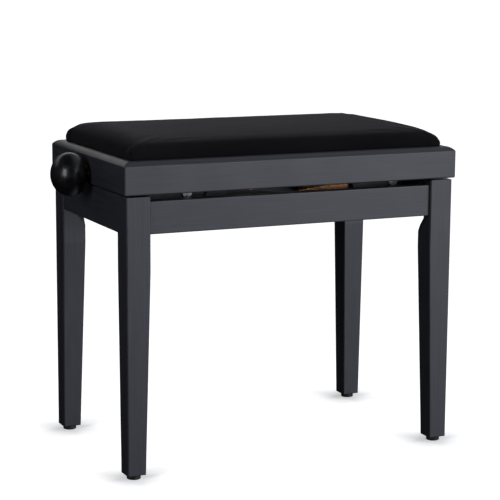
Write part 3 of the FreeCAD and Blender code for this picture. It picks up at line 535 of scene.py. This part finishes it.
def staple_tree(material):
    """Staples at even steps along the input's edges, each turned a little at random."""
    tree, given, result = tree_with("staples_along_line", Step=24 * MM, Width=10 * MM,
                                    Wire=0.6 * MM, Seed=7)
    line = add(tree, "GeometryNodeMeshToCurve", {"Mesh": given["Geometry"]})
    points = add(tree, "GeometryNodeCurveToPoints", {"Curve": line, "Length": given["Step"]},
                 mode="LENGTH")
    ends = {}
    for name, half in (("Start", -0.5), ("End", 0.5)):
        reach = add(tree, "ShaderNodeMath", {0: given["Width"], 1: half}, operation="MULTIPLY")
        ends[name] = add(tree, "ShaderNodeCombineXYZ", {1: reach})
    bar = add(tree, "GeometryNodeCurvePrimitiveLine", ends)
    radius = add(tree, "ShaderNodeMath", {0: given["Wire"], 1: 0.5}, operation="MULTIPLY")
    wire = add(tree, "GeometryNodeCurvePrimitiveCircle", {"Resolution": 8, "Radius": radius})
    crown = add(tree, "GeometryNodeCurveToMesh",
                {"Curve": bar, "Profile Curve": wire, "Fill Caps": True})
    sway = add(tree, "FunctionNodeRandomValue", {2: -0.22, 3: 0.22, "Seed": given["Seed"]},
               data_type="FLOAT")
    tangent = add(tree, "ShaderNodeSeparateXYZ", {0: points.outputs["Tangent"]}).outputs
    heading = add(tree, "ShaderNodeMath", {0: tangent["Y"], 1: tangent["X"]}, operation="ARCTAN2")
    swayed = add(tree, "ShaderNodeMath", {0: heading, 1: sway.outputs[1]}, operation="ADD")
    angle = add(tree, "ShaderNodeMath", {0: swayed, 1: math.pi / 2}, operation="ADD")
    turned = add(tree, "FunctionNodeEulerToRotation",
                 {0: add(tree, "ShaderNodeCombineXYZ", {2: angle})})
    return set_out(tree, result, points.outputs["Points"], crown, turned, material)


def point_mesh(places, turns):
    """Loose points, each with the turn that its rod is given."""
    mesh = bpy.data.meshes.new("points")
    mesh.from_pydata([tuple(p) for p in places], [], [])
    attribute = mesh.attributes.new("turn", "FLOAT_VECTOR", "POINT")
    attribute.data.foreach_set("vector", [x for turn in turns for x in turn])
    return mesh


def lathe(profile, segments=64):
    """A closed solid turned about X from (x, radius) points."""
    solid = bmesh.new()
    rings = []
    for x, radius in profile:
        if radius < 1e-7:
            rings.append([solid.verts.new((x, 0, 0))])
            continue
        rings.append([solid.verts.new((x, radius * math.cos(2 * math.pi * k / segments),
                                       radius * math.sin(2 * math.pi * k / segments)))
                      for k in range(segments)])
    for first, second in zip(rings, rings[1:]):
        for k in range(max(len(first), len(second))):
            n = (k + 1) % segments
            corners = [first[k % len(first)], first[n % len(first)],
                       second[n % len(second)], second[k % len(second)]]
            unique = list(dict.fromkeys(corners))
            if len(unique) > 2:
                solid.faces.new(unique)
    for ring in (rings[0], rings[-1]):
        if len(ring) > 2:
            solid.faces.new(ring)
    bmesh.ops.recalc_face_normals(solid, faces=solid.faces)
    return solid


# ---- cushion ----

FRONT_ROLL, REAR_ROLL = 6 * MM, 4 * MM      # how far in the cover turns down at its two seams
CLOTH_FRAMES = 20
STEADY, EVENED = 8, 0.85                    # rounds of evening out, and how much of it is kept
WALL_REACH = 9 * MM                         # skin this near to a wall of the box is laid on it
CORNER_REACH = 22 * MM                      # an upright corner is squared from this far in
BEARINGS, SQUARENESS = 15, 9                # directions a corner is read in; higher is squarer
FOLDS = ((0.0, 0.7), (6.0, 0.3))            # offset and depth of each corner fold, in mm


def cover_height(points, low, high, sizes):
    """Height of the finished cover over each point: a crown that rolls off towards the ends and
    the rear, falls more gently towards the front, and is lowest at the folded corners."""
    dx = np.clip(np.minimum(points[:, 0] - low[0], high[0] - points[:, 0]), 0, None)
    front = np.clip(points[:, 1] - low[1], 0, None)
    rear = np.clip(high[1] - points[:, 1], 0, None)
    ends = sizes.end_fall * np.exp(-(dx / sizes.end_reach) ** 1.3)
    sides = sizes.front_seam * np.exp(-front / FRONT_ROLL)
    sides += sizes.front_fall * np.exp(-front / sizes.front_reach)
    sides += sizes.rear_seam * np.exp(-rear / REAR_ROLL)
    sides += sizes.rear_fall * np.exp(-rear / sizes.rear_reach)
    return high[2] - np.minimum(np.hypot(ends, sides), sizes.corner_fall)


def pad_block(low, high, sizes):
    """Closed start shape of the pad: flat underside, upright walls and small corner radii, with
    the cover's own height over it, everything a little inside the finished skin."""
    middle, half = (low + high) / 2, (high - low) / 2 - sizes.shrink
    eased = np.sin(np.linspace(-math.pi / 2, math.pi / 2, 97))
    grid = np.array([(x * half[0], y * half[1]) for y in eased for x in eased])
    arc = np.clip(np.abs(grid) - (half[:2] - sizes.corner_radius), 0, None)
    both = (arc > 0).all(axis=1, keepdims=True)
    rounded = arc * arc.max(axis=1, keepdims=True) / np.maximum(
        np.linalg.norm(arc, axis=1, keepdims=True), 1e-9)
    grid += np.sign(grid) * np.where(both, rounded - arc, 0)
    full = grid * (half[:2] + sizes.shrink) / half[:2] + middle[:2]
    top = cover_height(full, low, high, sizes)
    flat = grid + middle[:2]
    count = len(eased)
    points = np.r_[np.c_[flat, top - sizes.shrink], np.c_[flat, np.full(len(flat), low[2])]]
    faces = []
    for row in range(count - 1):
        for column in range(count - 1):
            a = row * count + column
            faces.append((a, a + 1, a + count + 1, a + count))
            faces.append(tuple(k + count * count for k in (a, a + count, a + count + 1, a + 1)))
    rim = ([k for k in range(count)] + [k * count + count - 1 for k in range(1, count)]
           + [(count - 1) * count + k for k in range(count - 2, -1, -1)]
           + [k * count for k in range(count - 2, 0, -1)])
    under = count * count
    for a, b in zip(rim, rim[1:] + rim[:1]):
        faces.append((a, a + under, b + under, b))
    mesh = bpy.data.meshes.new("pad")
    mesh.from_pydata(points.tolist(), [], faces)
    return mesh


def averaged(mesh, values, rounds):
    """Values on the points, each round averaged with those of the joined points."""
    ends = np.empty(len(mesh.edges) * 2, int)
    mesh.edges.foreach_get("vertices", ends)
    first, second = ends.reshape(-1, 2).T
    count = np.bincount(ends, minlength=len(values))
    for _ in range(rounds):
        total = np.bincount(first, values[second], len(values))
        total += np.bincount(second, values[first], len(values))
        values = 0.5 * values + 0.5 * total / np.maximum(count, 1)
    return values


def voxelled(mesh, size):
    """The mesh remade from even voxels."""
    carrier = placed("carrier", mesh)
    modifier = carrier.modifiers.new("remesh", "REMESH")
    modifier.mode = "VOXEL"
    modifier.voxel_size = size
    return baked(carrier)


def swollen(mesh, pressure, pinned):
    """The mesh after some frames of cloth under inside pressure, its pinned points held."""
    cover = placed("cover", mesh)
    scene = bpy.context.scene
    group = cover.vertex_groups.new(name="held")
    group.add([int(i) for i in np.flatnonzero(pinned)], 1.0, "REPLACE")
    cloth = cover.modifiers.new("cloth", "CLOTH")
    settings = cloth.settings
    settings.quality = 6
    settings.mass = 0.3
    settings.tension_stiffness = settings.compression_stiffness = 18.0
    settings.bending_stiffness = 0.8
    settings.use_pressure = True
    settings.uniform_pressure_force = pressure
    settings.vertex_group_mass = "held"
    settings.effector_weights.gravity = 0.0
    cloth.collision_settings.use_collision = False
    cloth.point_cache.frame_start, cloth.point_cache.frame_end = 1, CLOTH_FRAMES
    for step in range(1, CLOTH_FRAMES + 1):
        scene.frame_set(step)
    result = baked(cover)
    scene.frame_set(1)
    return result


def squared(points, low, high, reach):
    """Pushes the upright corners out until their outline is nearly square."""
    half, away = (high - low)[:2] / 2, points[:, :2] - (low + high)[:2] / 2
    local = (np.abs(away) - half) / reach + 1
    near = (local > 0).all(axis=1)
    local = local[near]
    angle, radius = np.arctan2(local[:, 1], local[:, 0]), np.linalg.norm(local, axis=1)
    outline = np.zeros(BEARINGS)
    bearing = np.clip(angle / (math.pi / 2) * BEARINGS, 0, BEARINGS - 1).astype(int)
    np.maximum.at(outline, bearing, radius)
    outer = np.interp(angle, (np.arange(BEARINGS) + 0.5) * math.pi / (2 * BEARINGS), outline)
    aim = (np.cos(angle) ** SQUARENESS + np.sin(angle) ** SQUARENESS) ** (-1 / SQUARENESS)
    growth = 1 + (aim / outer - 1) * np.clip(radius / outer, 0, 1) ** 3
    result = points.copy()
    result[near, :2] = (low + high)[:2] / 2 + np.sign(away[near]) * (
        half - reach + local * growth[:, None] * reach)
    return result


def pleated(points, low, high):
    """Presses the two small folds of the cover into each corner."""
    result = points.copy()
    for sx in (-1, 1):
        for sy in (-1, 1):
            corner = np.array([high[0] if sx > 0 else low[0], high[1] if sy > 0 else low[1]])
            inward = (corner - points[:, :2]) * [sx, sy]
            along = (inward[:, 0] + inward[:, 1]) / math.sqrt(2)
            across = (inward[:, 0] - inward[:, 1]) / math.sqrt(2)
            for offset, depth in FOLDS:
                aim = offset * MM * np.clip(1 + along / (40 * MM), 0, 3)
                width = 2.0 * MM + 0.05 * np.clip(along, 0, 1)
                fold = np.exp(-((across - aim) / width) ** 2) * np.clip(1 - along / (38 * MM), 0, 1)
                high_up = np.clip((points[:, 2] - low[2] - 3 * MM) / (6 * MM), 0, 1)
                pressed = depth * MM * fold * high_up
                result -= pressed[:, None] * [0.4 * sx, 0.4 * sy, 1.0]
    return result


class BENCH_OT_cushion(bpy.types.Operator):
    """Stuffed velvet pad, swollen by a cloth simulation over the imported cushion"""
    bl_idname = "bench.cushion"
    bl_label = "Cushion"

    def execute(self, context):
        sizes = context.scene.bench_cushion
        low, high = (np.array(corner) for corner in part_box("cushion"))
        mesh = voxelled(pad_block(low, high, sizes), sizes.voxel)
        start = coordinates(mesh)
        mesh = swollen(mesh, sizes.pressure, start[:, 2] < low[2] + 1.5 * MM)
        moved = coordinates(mesh) - start
        length = np.linalg.norm(moved, axis=1, keepdims=True)
        points = start + moved * np.minimum(1.0, sizes.swell / np.maximum(length, 1e-9))
        set_coordinates(mesh, points)
        calmed = np.stack([averaged(mesh, values, STEADY) for values in points.T], axis=1)
        held = np.clip((points[:, 2:3] - low[2] - 2 * MM) / (6 * MM), 0, 1)
        points += (calmed - points) * held * EVENED
        set_coordinates(mesh, points)
        upward = np.empty(len(points) * 3)
        mesh.vertices.foreach_get("normal", upward)
        upper = np.clip(upward.reshape(-1, 3)[:, 2] * 2, 0, 1)
        raised = np.clip((points[:, 2] - low[2] - 2 * MM) / (4 * MM), 0, 1)
        for axis in (0, 1):
            for edge, side in ((low[axis], -1), (high[axis], 1)):
                gap = (edge - points[:, axis]) * side
                points[:, axis] += side * gap * np.clip(1 - gap / WALL_REACH, 0, 1) * raised
        points = squared(points, low, high, CORNER_REACH)
        goal = cover_height(points, low, high, sizes)
        points[:, 2] += averaged(mesh, (goal - points[:, 2]) * upper, 6) * (upper > 0)
        points = pleated(points, low, high)
        for k in range(len(points)):
            spot = Vector(points[k])
            unevenness = noise.noise(spot * 18.0) * 0.3 + noise.noise(spot * 45.0) * 0.15
            points[k, 2] += unevenness * MM * min(1.0, (points[k, 2] - low[2]) / (20 * MM))
        points = np.clip(points, low, high)
        set_coordinates(mesh, points)
        carrier = placed("carrier", mesh)
        carrier.modifiers.new("finer", "SUBSURF").levels = 1
        mesh = baked(carrier)
        smooth(mesh, 180)
        velvet = cotton_velvet(tuple(context.scene.bench_colours.velvet), sizes.sheen)
        made = piece("velvet_cushion", mesh, "seat", velvet, "cushion")
        return {"FINISHED"}


BLOCK = 34 * MM      # room that each corner's glue block takes from the hem


class BENCH_OT_hem(bpy.types.Operator):
    """Cover folded under the seat board, and the staples that hold it"""
    bl_idname = "bench.hem"
    bl_label = "Hem and staples"

    def execute(self, context):
        sizes = context.scene.bench_threads
        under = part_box("seat_board")[0].z
        inner_x, inner_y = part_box("seat_rail_right")[0].x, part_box("seat_rail_rear")[0].y
        thick = 0.7 * MM
        end_x, end_y = inner_x - BLOCK, inner_y - BLOCK
        strip = bmesh.new()
        line = bmesh.new()
        rng = np.random.default_rng(11)
        for start, end, inward in (((-end_x, -inner_y), (end_x, -inner_y), (0, 1)),
                                   ((-inner_x, -end_y), (-inner_x, end_y), (1, 0)),
                                   ((-end_x, inner_y), (end_x, inner_y), (0, -1)),
                                   ((inner_x, -end_y), (inner_x, end_y), (-1, 0))):
            start, end, inward = Vector(start), Vector(end), Vector(inward)
            along = (end - start).normalized()
            steps = int((end - start).length / (6 * MM))
            outer, inner = [], []
            for k in range(steps + 1):
                spot = start.lerp(end, k / steps)
                ragged = sizes.hem_width + float(rng.normal(0, 0.35)) * MM
                outer.append(spot + inward * 0.3 * MM)
                inner.append(spot + inward * ragged)
            top_out, low_out, top_in, low_in = (
                [strip.verts.new((p.x, p.y, z)) for p in side_points]
                for side_points in (outer, inner) for z in (under, under - thick))
            for a, b in ((top_out, top_in), (low_in, low_out), (low_out, top_out),
                         (top_in, low_in)):
                for k in range(steps):
                    strip.faces.new((a[k], a[k + 1], b[k + 1], b[k]))
            for k in (0, steps):
                strip.faces.new((top_out[k], top_in[k], low_in[k], low_out[k]))
            middle = inward * sizes.hem_width * 0.55
            line.edges.new([line.verts.new((p.x, p.y, under - thick - 0.25 * MM)) for p in (
                start + along * 10 * MM + middle, end - along * 10 * MM + middle)])
        bmesh.ops.recalc_face_normals(strip, faces=strip.faces)
        mesh = as_mesh(strip, "hem")
        smooth(mesh)
        back = velvet_back(tuple(context.scene.bench_colours.velvet))
        piece("cover_hem", mesh, "seat", back)
        zinc = bpy.data.materials["bright_zinc_steel"]
        mesh = grown(staple_tree(zinc), as_mesh(line, "staple_line"), {"Step": sizes.staple_step})
        smooth(mesh, 60)
        piece("hem_staples", mesh, "seat", zinc)
        return {"FINISHED"}


# ---- the other pieces ----

class BENCH_OT_finishes(bpy.types.Operator):
    """Makes the finishes that several pieces share"""
    bl_idname = "bench.finishes"
    bl_label = "Shared finishes"

    def execute(self, context):
        colours = context.scene.bench_colours
        for along in "XYZ":
            lacquered_beech("lacquered_beech_" + along.lower(), along, tuple(colours.lacquer))
        yellow_passivated(tuple(colours.film))
        bright_zinc()
        stove_enamel("stove_enamelled_steel", tuple(colours.enamel))
        # the outer arms get the rail enamel at about a third of its tone: a darker enamel that is
        # partly painted shade for the arms deep in the shaded slot
        stove_enamel("stove_enamelled_arms_painted_shade", shade(tuple(colours.enamel), 0.35))
        turned_brass()
        natural_nylon()
        moulded_plastic()
        return {"FINISHED"}


class BENCH_OT_woodwork(bpy.types.Operator):
    """Lacquer on legs, aprons and seat rails, with the grain along each piece"""
    bl_idname = "bench.woodwork"
    bl_label = "Woodwork"

    def execute(self, context):
        materials = bpy.data.materials
        dress(materials["lacquered_beech_x"], "apron_front", "seat_rail_front", "apron_rear",
              "seat_rail_rear")
        dress(materials["lacquered_beech_y"], "apron_left", "seat_rail_left", "apron_right",
              "seat_rail_right")
        dress(materials["lacquered_beech_z"], *("leg_" + corner for corner in CORNERS))
        return {"FINISHED"}


class BENCH_OT_board(bpy.types.Operator):
    """Plywood board, wrapped at its edges and bare below, and the glue blocks under the seat"""
    bl_idname = "bench.board"
    bl_label = "Seat board"

    def execute(self, context):
        cover = tuple(context.scene.bench_colours.velvet)
        dress(plywood(cover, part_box("seat_board")[0].z + 0.6 * MM), "seat_board")
        dress(sawn_spruce(), "seat_corner_blocks")
        return {"FINISHED"}


class BENCH_OT_glides(bpy.types.Operator):
    """Moulded glides under the legs"""
    bl_idname = "bench.glides"
    bl_label = "Foot glides"

    def execute(self, context):
        dress(bpy.data.materials["grained_polyethylene"],
              *("foot_glide_" + corner for corner in CORNERS))
        return {"FINISHED"}


class BENCH_OT_lift(bpy.types.Operator):
    """Finishes of the scissor lift: arms, rails, rods, sleeves, yoke and nut"""
    bl_idname = "bench.lift"
    bl_label = "Scissor lift"

    def execute(self, context):
        materials = bpy.data.materials
        dress(materials["yellow_passivated_zinc"], "inner_arm_front", "inner_arm_rear", "drive_yoke")
        dress(materials["stove_enamelled_steel"], "lower_rail_front", "lower_rail_rear",
              "upper_rail_front", "upper_rail_rear")
        # darker enamel on the outer arms, partly painted shade for the shaded slot
        dress(materials["stove_enamelled_arms_painted_shade"], "outer_arm_front", "outer_arm_rear")
        dress(materials["bright_zinc_steel"], "lower_pivot_rod", "upper_pivot_rod", "lift_shaft",
              "slide_rod", "centre_rivets", "outer_arm_washers", "inner_arm_spacers",
              "spindle_collars", "outer_arm_cross_tube", "inner_arm_cross_tube")
        dress(materials["natural_nylon"], "outer_arm_sleeves", "inner_arm_sleeves")
        dress(materials["turned_brass"], "spindle_bush_left", "spindle_bush_right", "lead_nut")
        return {"FINISHED"}


class BENCH_OT_fasteners(bpy.types.Operator):
    """Screws, nuts, washers, corner brackets and threaded hanger bolts"""
    bl_idname = "bench.fasteners"
    bl_label = "Fasteners"

    def execute(self, context):
        materials = bpy.data.materials
        zinc = materials["bright_zinc_steel"]
        dress(zinc, "bracket_screws", "lower_rail_screws", "upper_rail_screws", "board_screws",
              "collar_screws", "knob_screws", "hanger_washers", "hanger_nuts")
        dress(materials["yellow_passivated_zinc"],
              *("corner_bracket_" + corner for corner in CORNERS))
        low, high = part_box("hanger_bolts")
        radius = (high.z - low.z) / 2
        points = coordinates(NODES["hanger_bolts"].data)
        places, turns, lengths = [], [], []
        for sx in (-1, 1):
            for sy in (-1, 1):
                outward = Vector((sx, sy, 0)) / math.sqrt(2)
                mine = points[(points[:, 0] * sx > 0) & (points[:, 1] * sy > 0)]
                reach = mine[:, :2] @ np.array(outward)[:2]
                centre = Vector((*mine[:, :2].mean(axis=0), (low.z + high.z) / 2))
                places.append(centre + outward * (reach.min() - centre.dot(outward)))
                turns.append(outward.to_track_quat("Z", "Y").to_euler())
                lengths.append(reach.max() - reach.min())
        mesh = grown(thread_tree(zinc), point_mesh(places, turns), {
            "Radius": radius, "Pitch": context.scene.bench_threads.bolt_pitch,
            "Length": float(min(lengths)), "Depth": 0.6 * MM})
        smooth(mesh, 30)
        piece("threaded_hanger_bolts", mesh, "base", zinc, "hanger_bolts")
        return {"FINISHED"}


class BENCH_OT_spindle(bpy.types.Operator):
    """Lift screw with its thread between plain journals"""
    bl_idname = "bench.spindle"
    bl_label = "Lift screw"

    def execute(self, context):
        zinc = bpy.data.materials["bright_zinc_steel"]
        low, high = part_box("lift_spindle")
        radius, axis_z = (high.z - low.z) / 2, (high.z + low.z) / 2
        nut_low, nut_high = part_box("lead_nut")
        thread_from, thread_to = nut_low.x - 30 * MM, nut_high.x + 60 * MM
        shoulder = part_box("knob_right")[0].x - 0.1 * MM
        end_radius = radius - 1.0 * MM
        ease = 0.6 * MM
        solid = bmesh.new()
        for profile in (
                [(low.x, 0), (low.x, end_radius - ease), (low.x + ease, end_radius),
                 (-shoulder - ease, end_radius), (-shoulder, radius - ease),
                 (-shoulder + ease, radius), (thread_from - 2 * ease, radius),
                 (thread_from, radius - 1.5 * ease), (thread_from, 0)],
                [(thread_to, 0), (thread_to, radius - 1.5 * ease), (thread_to + 2 * ease, radius),
                 (shoulder - ease, radius), (shoulder, radius - ease),
                 (shoulder + ease, end_radius), (high.x - ease, end_radius),
                 (high.x, end_radius - ease), (high.x, 0)]):
            solid.from_mesh(as_mesh(lathe(profile, 48), "journal"))
        bmesh.ops.translate(solid, verts=solid.verts, vec=(0, 0, axis_z))
        thread = grown(thread_tree(zinc),
                       point_mesh([(thread_from, 0, axis_z)], [(0, math.pi / 2, 0)]),
                       {"Radius": radius, "Pitch": context.scene.bench_threads.screw_pitch,
                        "Length": thread_to - thread_from, "Depth": 0.95 * MM})
        solid.from_mesh(thread)
        mesh = as_mesh(solid, "lift_screw")
        smooth(mesh, 30)
        piece("threaded_lift_screw", mesh, "spindle", zinc, "lift_spindle")
        return {"FINISHED"}


class BENCH_OT_knobs(bpy.types.Operator):
    """Phenolic knobs at both ends of the lift screw"""
    bl_idname = "bench.knobs"
    bl_label = "Knobs"

    def execute(self, context):
        dress(phenolic(tuple(context.scene.bench_colours.knob)), "knob_left", "knob_right")
        return {"FINISHED"}


# ---- stage ----

CAMERA_AT = (-1.0397, -2.2439, 0.7173)
CAMERA_YAW, CAMERA_PITCH, CAMERA_ROLL = 0.4335, 0.1746, 0.0063
CAMERA_LENS = 122.18
# Soft lamps: name, place, what it points at, width and height, watts.
LAMPS = (("key", (2.5, -2.8, 1.2), (0, 0, 0.4), (2.6, 1.3), 30.0),
         ("back", (-0.2, 0.62, 0.72), (0, 0.1, 0.47), (1.3, 0.16), 0.6),
         ("knob_glint", (-1.80, -0.85, 0.81), (-0.28, 0, 0.4), (0.50, 0.95), 14.0))


def camera_matrix():
    """Placement from the heading, the dip below the horizon and a slight roll."""
    ahead = Vector((math.sin(CAMERA_YAW) * math.cos(CAMERA_PITCH),
                    math.cos(CAMERA_YAW) * math.cos(CAMERA_PITCH), -math.sin(CAMERA_PITCH)))
    right = Vector((math.cos(CAMERA_YAW), -math.sin(CAMERA_YAW), 0))
    up = right.cross(ahead)
    across = right * math.cos(CAMERA_ROLL) + up * math.sin(CAMERA_ROLL)
    upward = up * math.cos(CAMERA_ROLL) - right * math.sin(CAMERA_ROLL)
    turned = Matrix((across, upward, -ahead)).transposed()
    return Matrix.Translation(CAMERA_AT) @ turned.to_4x4()


def soft_light(name, place, aim, size, power):
    """A white rectangle of light, turned towards its aim."""
    data = bpy.data.lights.new(name, "AREA")
    data.shape = "RECTANGLE"
    data.size, data.size_y = size
    data.energy = power
    turn = (Vector(aim) - Vector(place)).to_track_quat("-Z", "Y").to_matrix().to_4x4()
    placed(name, data).matrix_world = Matrix.Translation(place) @ turn


def stage_floor():
    """Matt white card, self-lit so that it stays pale; its glow is dimmed by ambient occlusion close
    round the feet, a painted shadow, and it is seen only from above."""
    rim = bmesh.new()
    bmesh.ops.create_circle(rim, cap_ends=True, radius=40.0, segments=96)
    mesh = as_mesh(rim, "floor_card")
    material, tree = start_finish("white_card", Roughness=0.9, Specular_IOR_Level=0.0,
                                  Emission_Color=rgba("#FFFFFF"))
    lead(tree, rgba("#EFEFEF"), [(rgba("#F4F4F4"), speckle(tree, 40 * MM, 2.0), 1)])
    # painted shadow: ambient occlusion dims the card's glow close round each foot
    painted_shadow_occlusion = add(tree, "ShaderNodeAmbientOcclusion", {"Distance": 90 * MM}, samples=8)
    glow_with_painted_shadow = add(tree, "ShaderNodeMapRange", {"Value": painted_shadow_occlusion.outputs["AO"], "From Min": 0.75,
                                            "To Min": 0.40, "To Max": 0.86})
    shader = tree.nodes["shader"]
    tree.links.new(glow_with_painted_shadow.outputs[0], shader.inputs["Emission Strength"])
    clear = add(tree, "ShaderNodeBsdfTransparent")
    under = add(tree, "ShaderNodeNewGeometry").outputs["Backfacing"]
    shown = add(tree, "ShaderNodeMixShader", {0: under, 1: shader, 2: clear})
    output = next(node for node in tree.nodes if node.type == "OUTPUT_MATERIAL")
    tree.links.new(shown.outputs[0], output.inputs["Surface"])
    mesh.materials.append(material)
    floor = placed("floor_card", mesh)
    floor.visible_glossy = floor.visible_diffuse = False


WORLD_POWER = 3.3
# Light from around the bench, by direction: axis, start and end of the ramp, level at each.
WORLD_RAMPS = (("X", -0.05, 0.55, 0.02, 1.0),      # dim to the left
               ("X", 0.55, 0.95, 1.0, 0.15),       # dim far to the right
               ("Y", 0.20, 0.80, 1.0, 0.28),       # dim behind
               ("Z", 0.25, 0.75, 1.0, 0.18),       # dim overhead
               ("Z", -0.34, -0.03, 0.12, 1.0))     # dim below


def studio_world():
    """White to the eye; as light it comes mostly from the front right."""
    world = bpy.data.worlds.new("studio")
    bpy.context.scene.world = world
    world.use_nodes = True
    tree = world.node_tree
    tree.nodes.clear()
    around = add(tree, "ShaderNodeTexCoord").outputs["Generated"]
    way = add(tree, "ShaderNodeSeparateXYZ", {0: around})
    level = WORLD_POWER
    for axis, first, last, low, high in WORLD_RAMPS:
        ramp = add(tree, "ShaderNodeMapRange", {
            "Value": way.outputs[axis], "From Min": first, "From Max": last, "To Min": low,
            "To Max": high}, interpolation_type="SMOOTHERSTEP")
        level = add(tree, "ShaderNodeMath", {0: ramp, 1: level}, operation="MULTIPLY")
    lit = add(tree, "ShaderNodeBackground", {"Color": rgba("#F1F4FF"), "Strength": level})
    seen = add(tree, "ShaderNodeBackground", {"Color": rgba("#FFFFFF"), "Strength": 1.0})
    ray = add(tree, "ShaderNodeLightPath").outputs["Is Camera Ray"]
    mixed = add(tree, "ShaderNodeMixShader", {0: ray, 1: lit, 2: seen})
    add(tree, "ShaderNodeOutputWorld", {"Surface": mixed})


class BENCH_OT_stage(bpy.types.Operator):
    """Camera, pale floor, soft lights and world"""
    bl_idname = "bench.stage"
    bl_label = "Stage"

    def execute(self, context):
        scene = context.scene
        data = bpy.data.cameras.new("camera")
        data.sensor_width, data.lens = 36.0, CAMERA_LENS
        data.clip_start, data.clip_end = 0.05, 200.0
        scene.camera = placed("camera", data)
        scene.camera.matrix_world = camera_matrix()
        scene.view_settings.view_transform = "Standard"
        stage_floor()
        studio_world()
        for lamp in LAMPS:
            soft_light(*lamp)
        return {"FINISHED"}


# ---- add-on ----

OPERATORS = (BENCH_OT_stage, BENCH_OT_finishes, BENCH_OT_woodwork, BENCH_OT_board, BENCH_OT_glides,
             BENCH_OT_lift, BENCH_OT_fasteners, BENCH_OT_spindle, BENCH_OT_knobs, BENCH_OT_cushion,
             BENCH_OT_hem)


class BENCH_PT_panel(bpy.types.Panel):
    """Lists the settings and the steps of the bench"""
    bl_idname = "BENCH_PT_panel"
    bl_label = "Piano Bench"
    bl_space_type = "VIEW_3D"
    bl_region_type = "UI"
    bl_category = "Piano Bench"

    def draw(self, context):
        for settings in SETTINGS:
            box = self.layout.box()
            for name in SETTINGS[settings].__annotations__:
                box.prop(getattr(context.scene, settings), name)
        for operator in OPERATORS:
            self.layout.operator(operator.bl_idname)


SETTINGS = {"bench_colours": BenchColours, "bench_cushion": BenchCushion,
            "bench_threads": BenchThreads}
CLASSES = (*SETTINGS.values(), *OPERATORS, BENCH_PT_panel)


def register():
    for made in CLASSES:
        bpy.utils.register_class(made)
    for name, made in SETTINGS.items():
        setattr(bpy.types.Scene, name, bpy.props.PointerProperty(type=made))


def unregister():
    for name in SETTINGS:
        delattr(bpy.types.Scene, name)
    for made in reversed(CLASSES):
        bpy.utils.unregister_class(made)


def main():
    register()
    bpy.ops.bench.stage()
    bpy.ops.bench.finishes()
    bpy.ops.bench.woodwork()
    bpy.ops.bench.board()
    bpy.ops.bench.glides()
    bpy.ops.bench.lift()
    bpy.ops.bench.fasteners()
    bpy.ops.bench.spindle()
    bpy.ops.bench.knobs()
    bpy.ops.bench.cushion()
    bpy.ops.bench.hem()


if __name__ == "__main__":
    main()
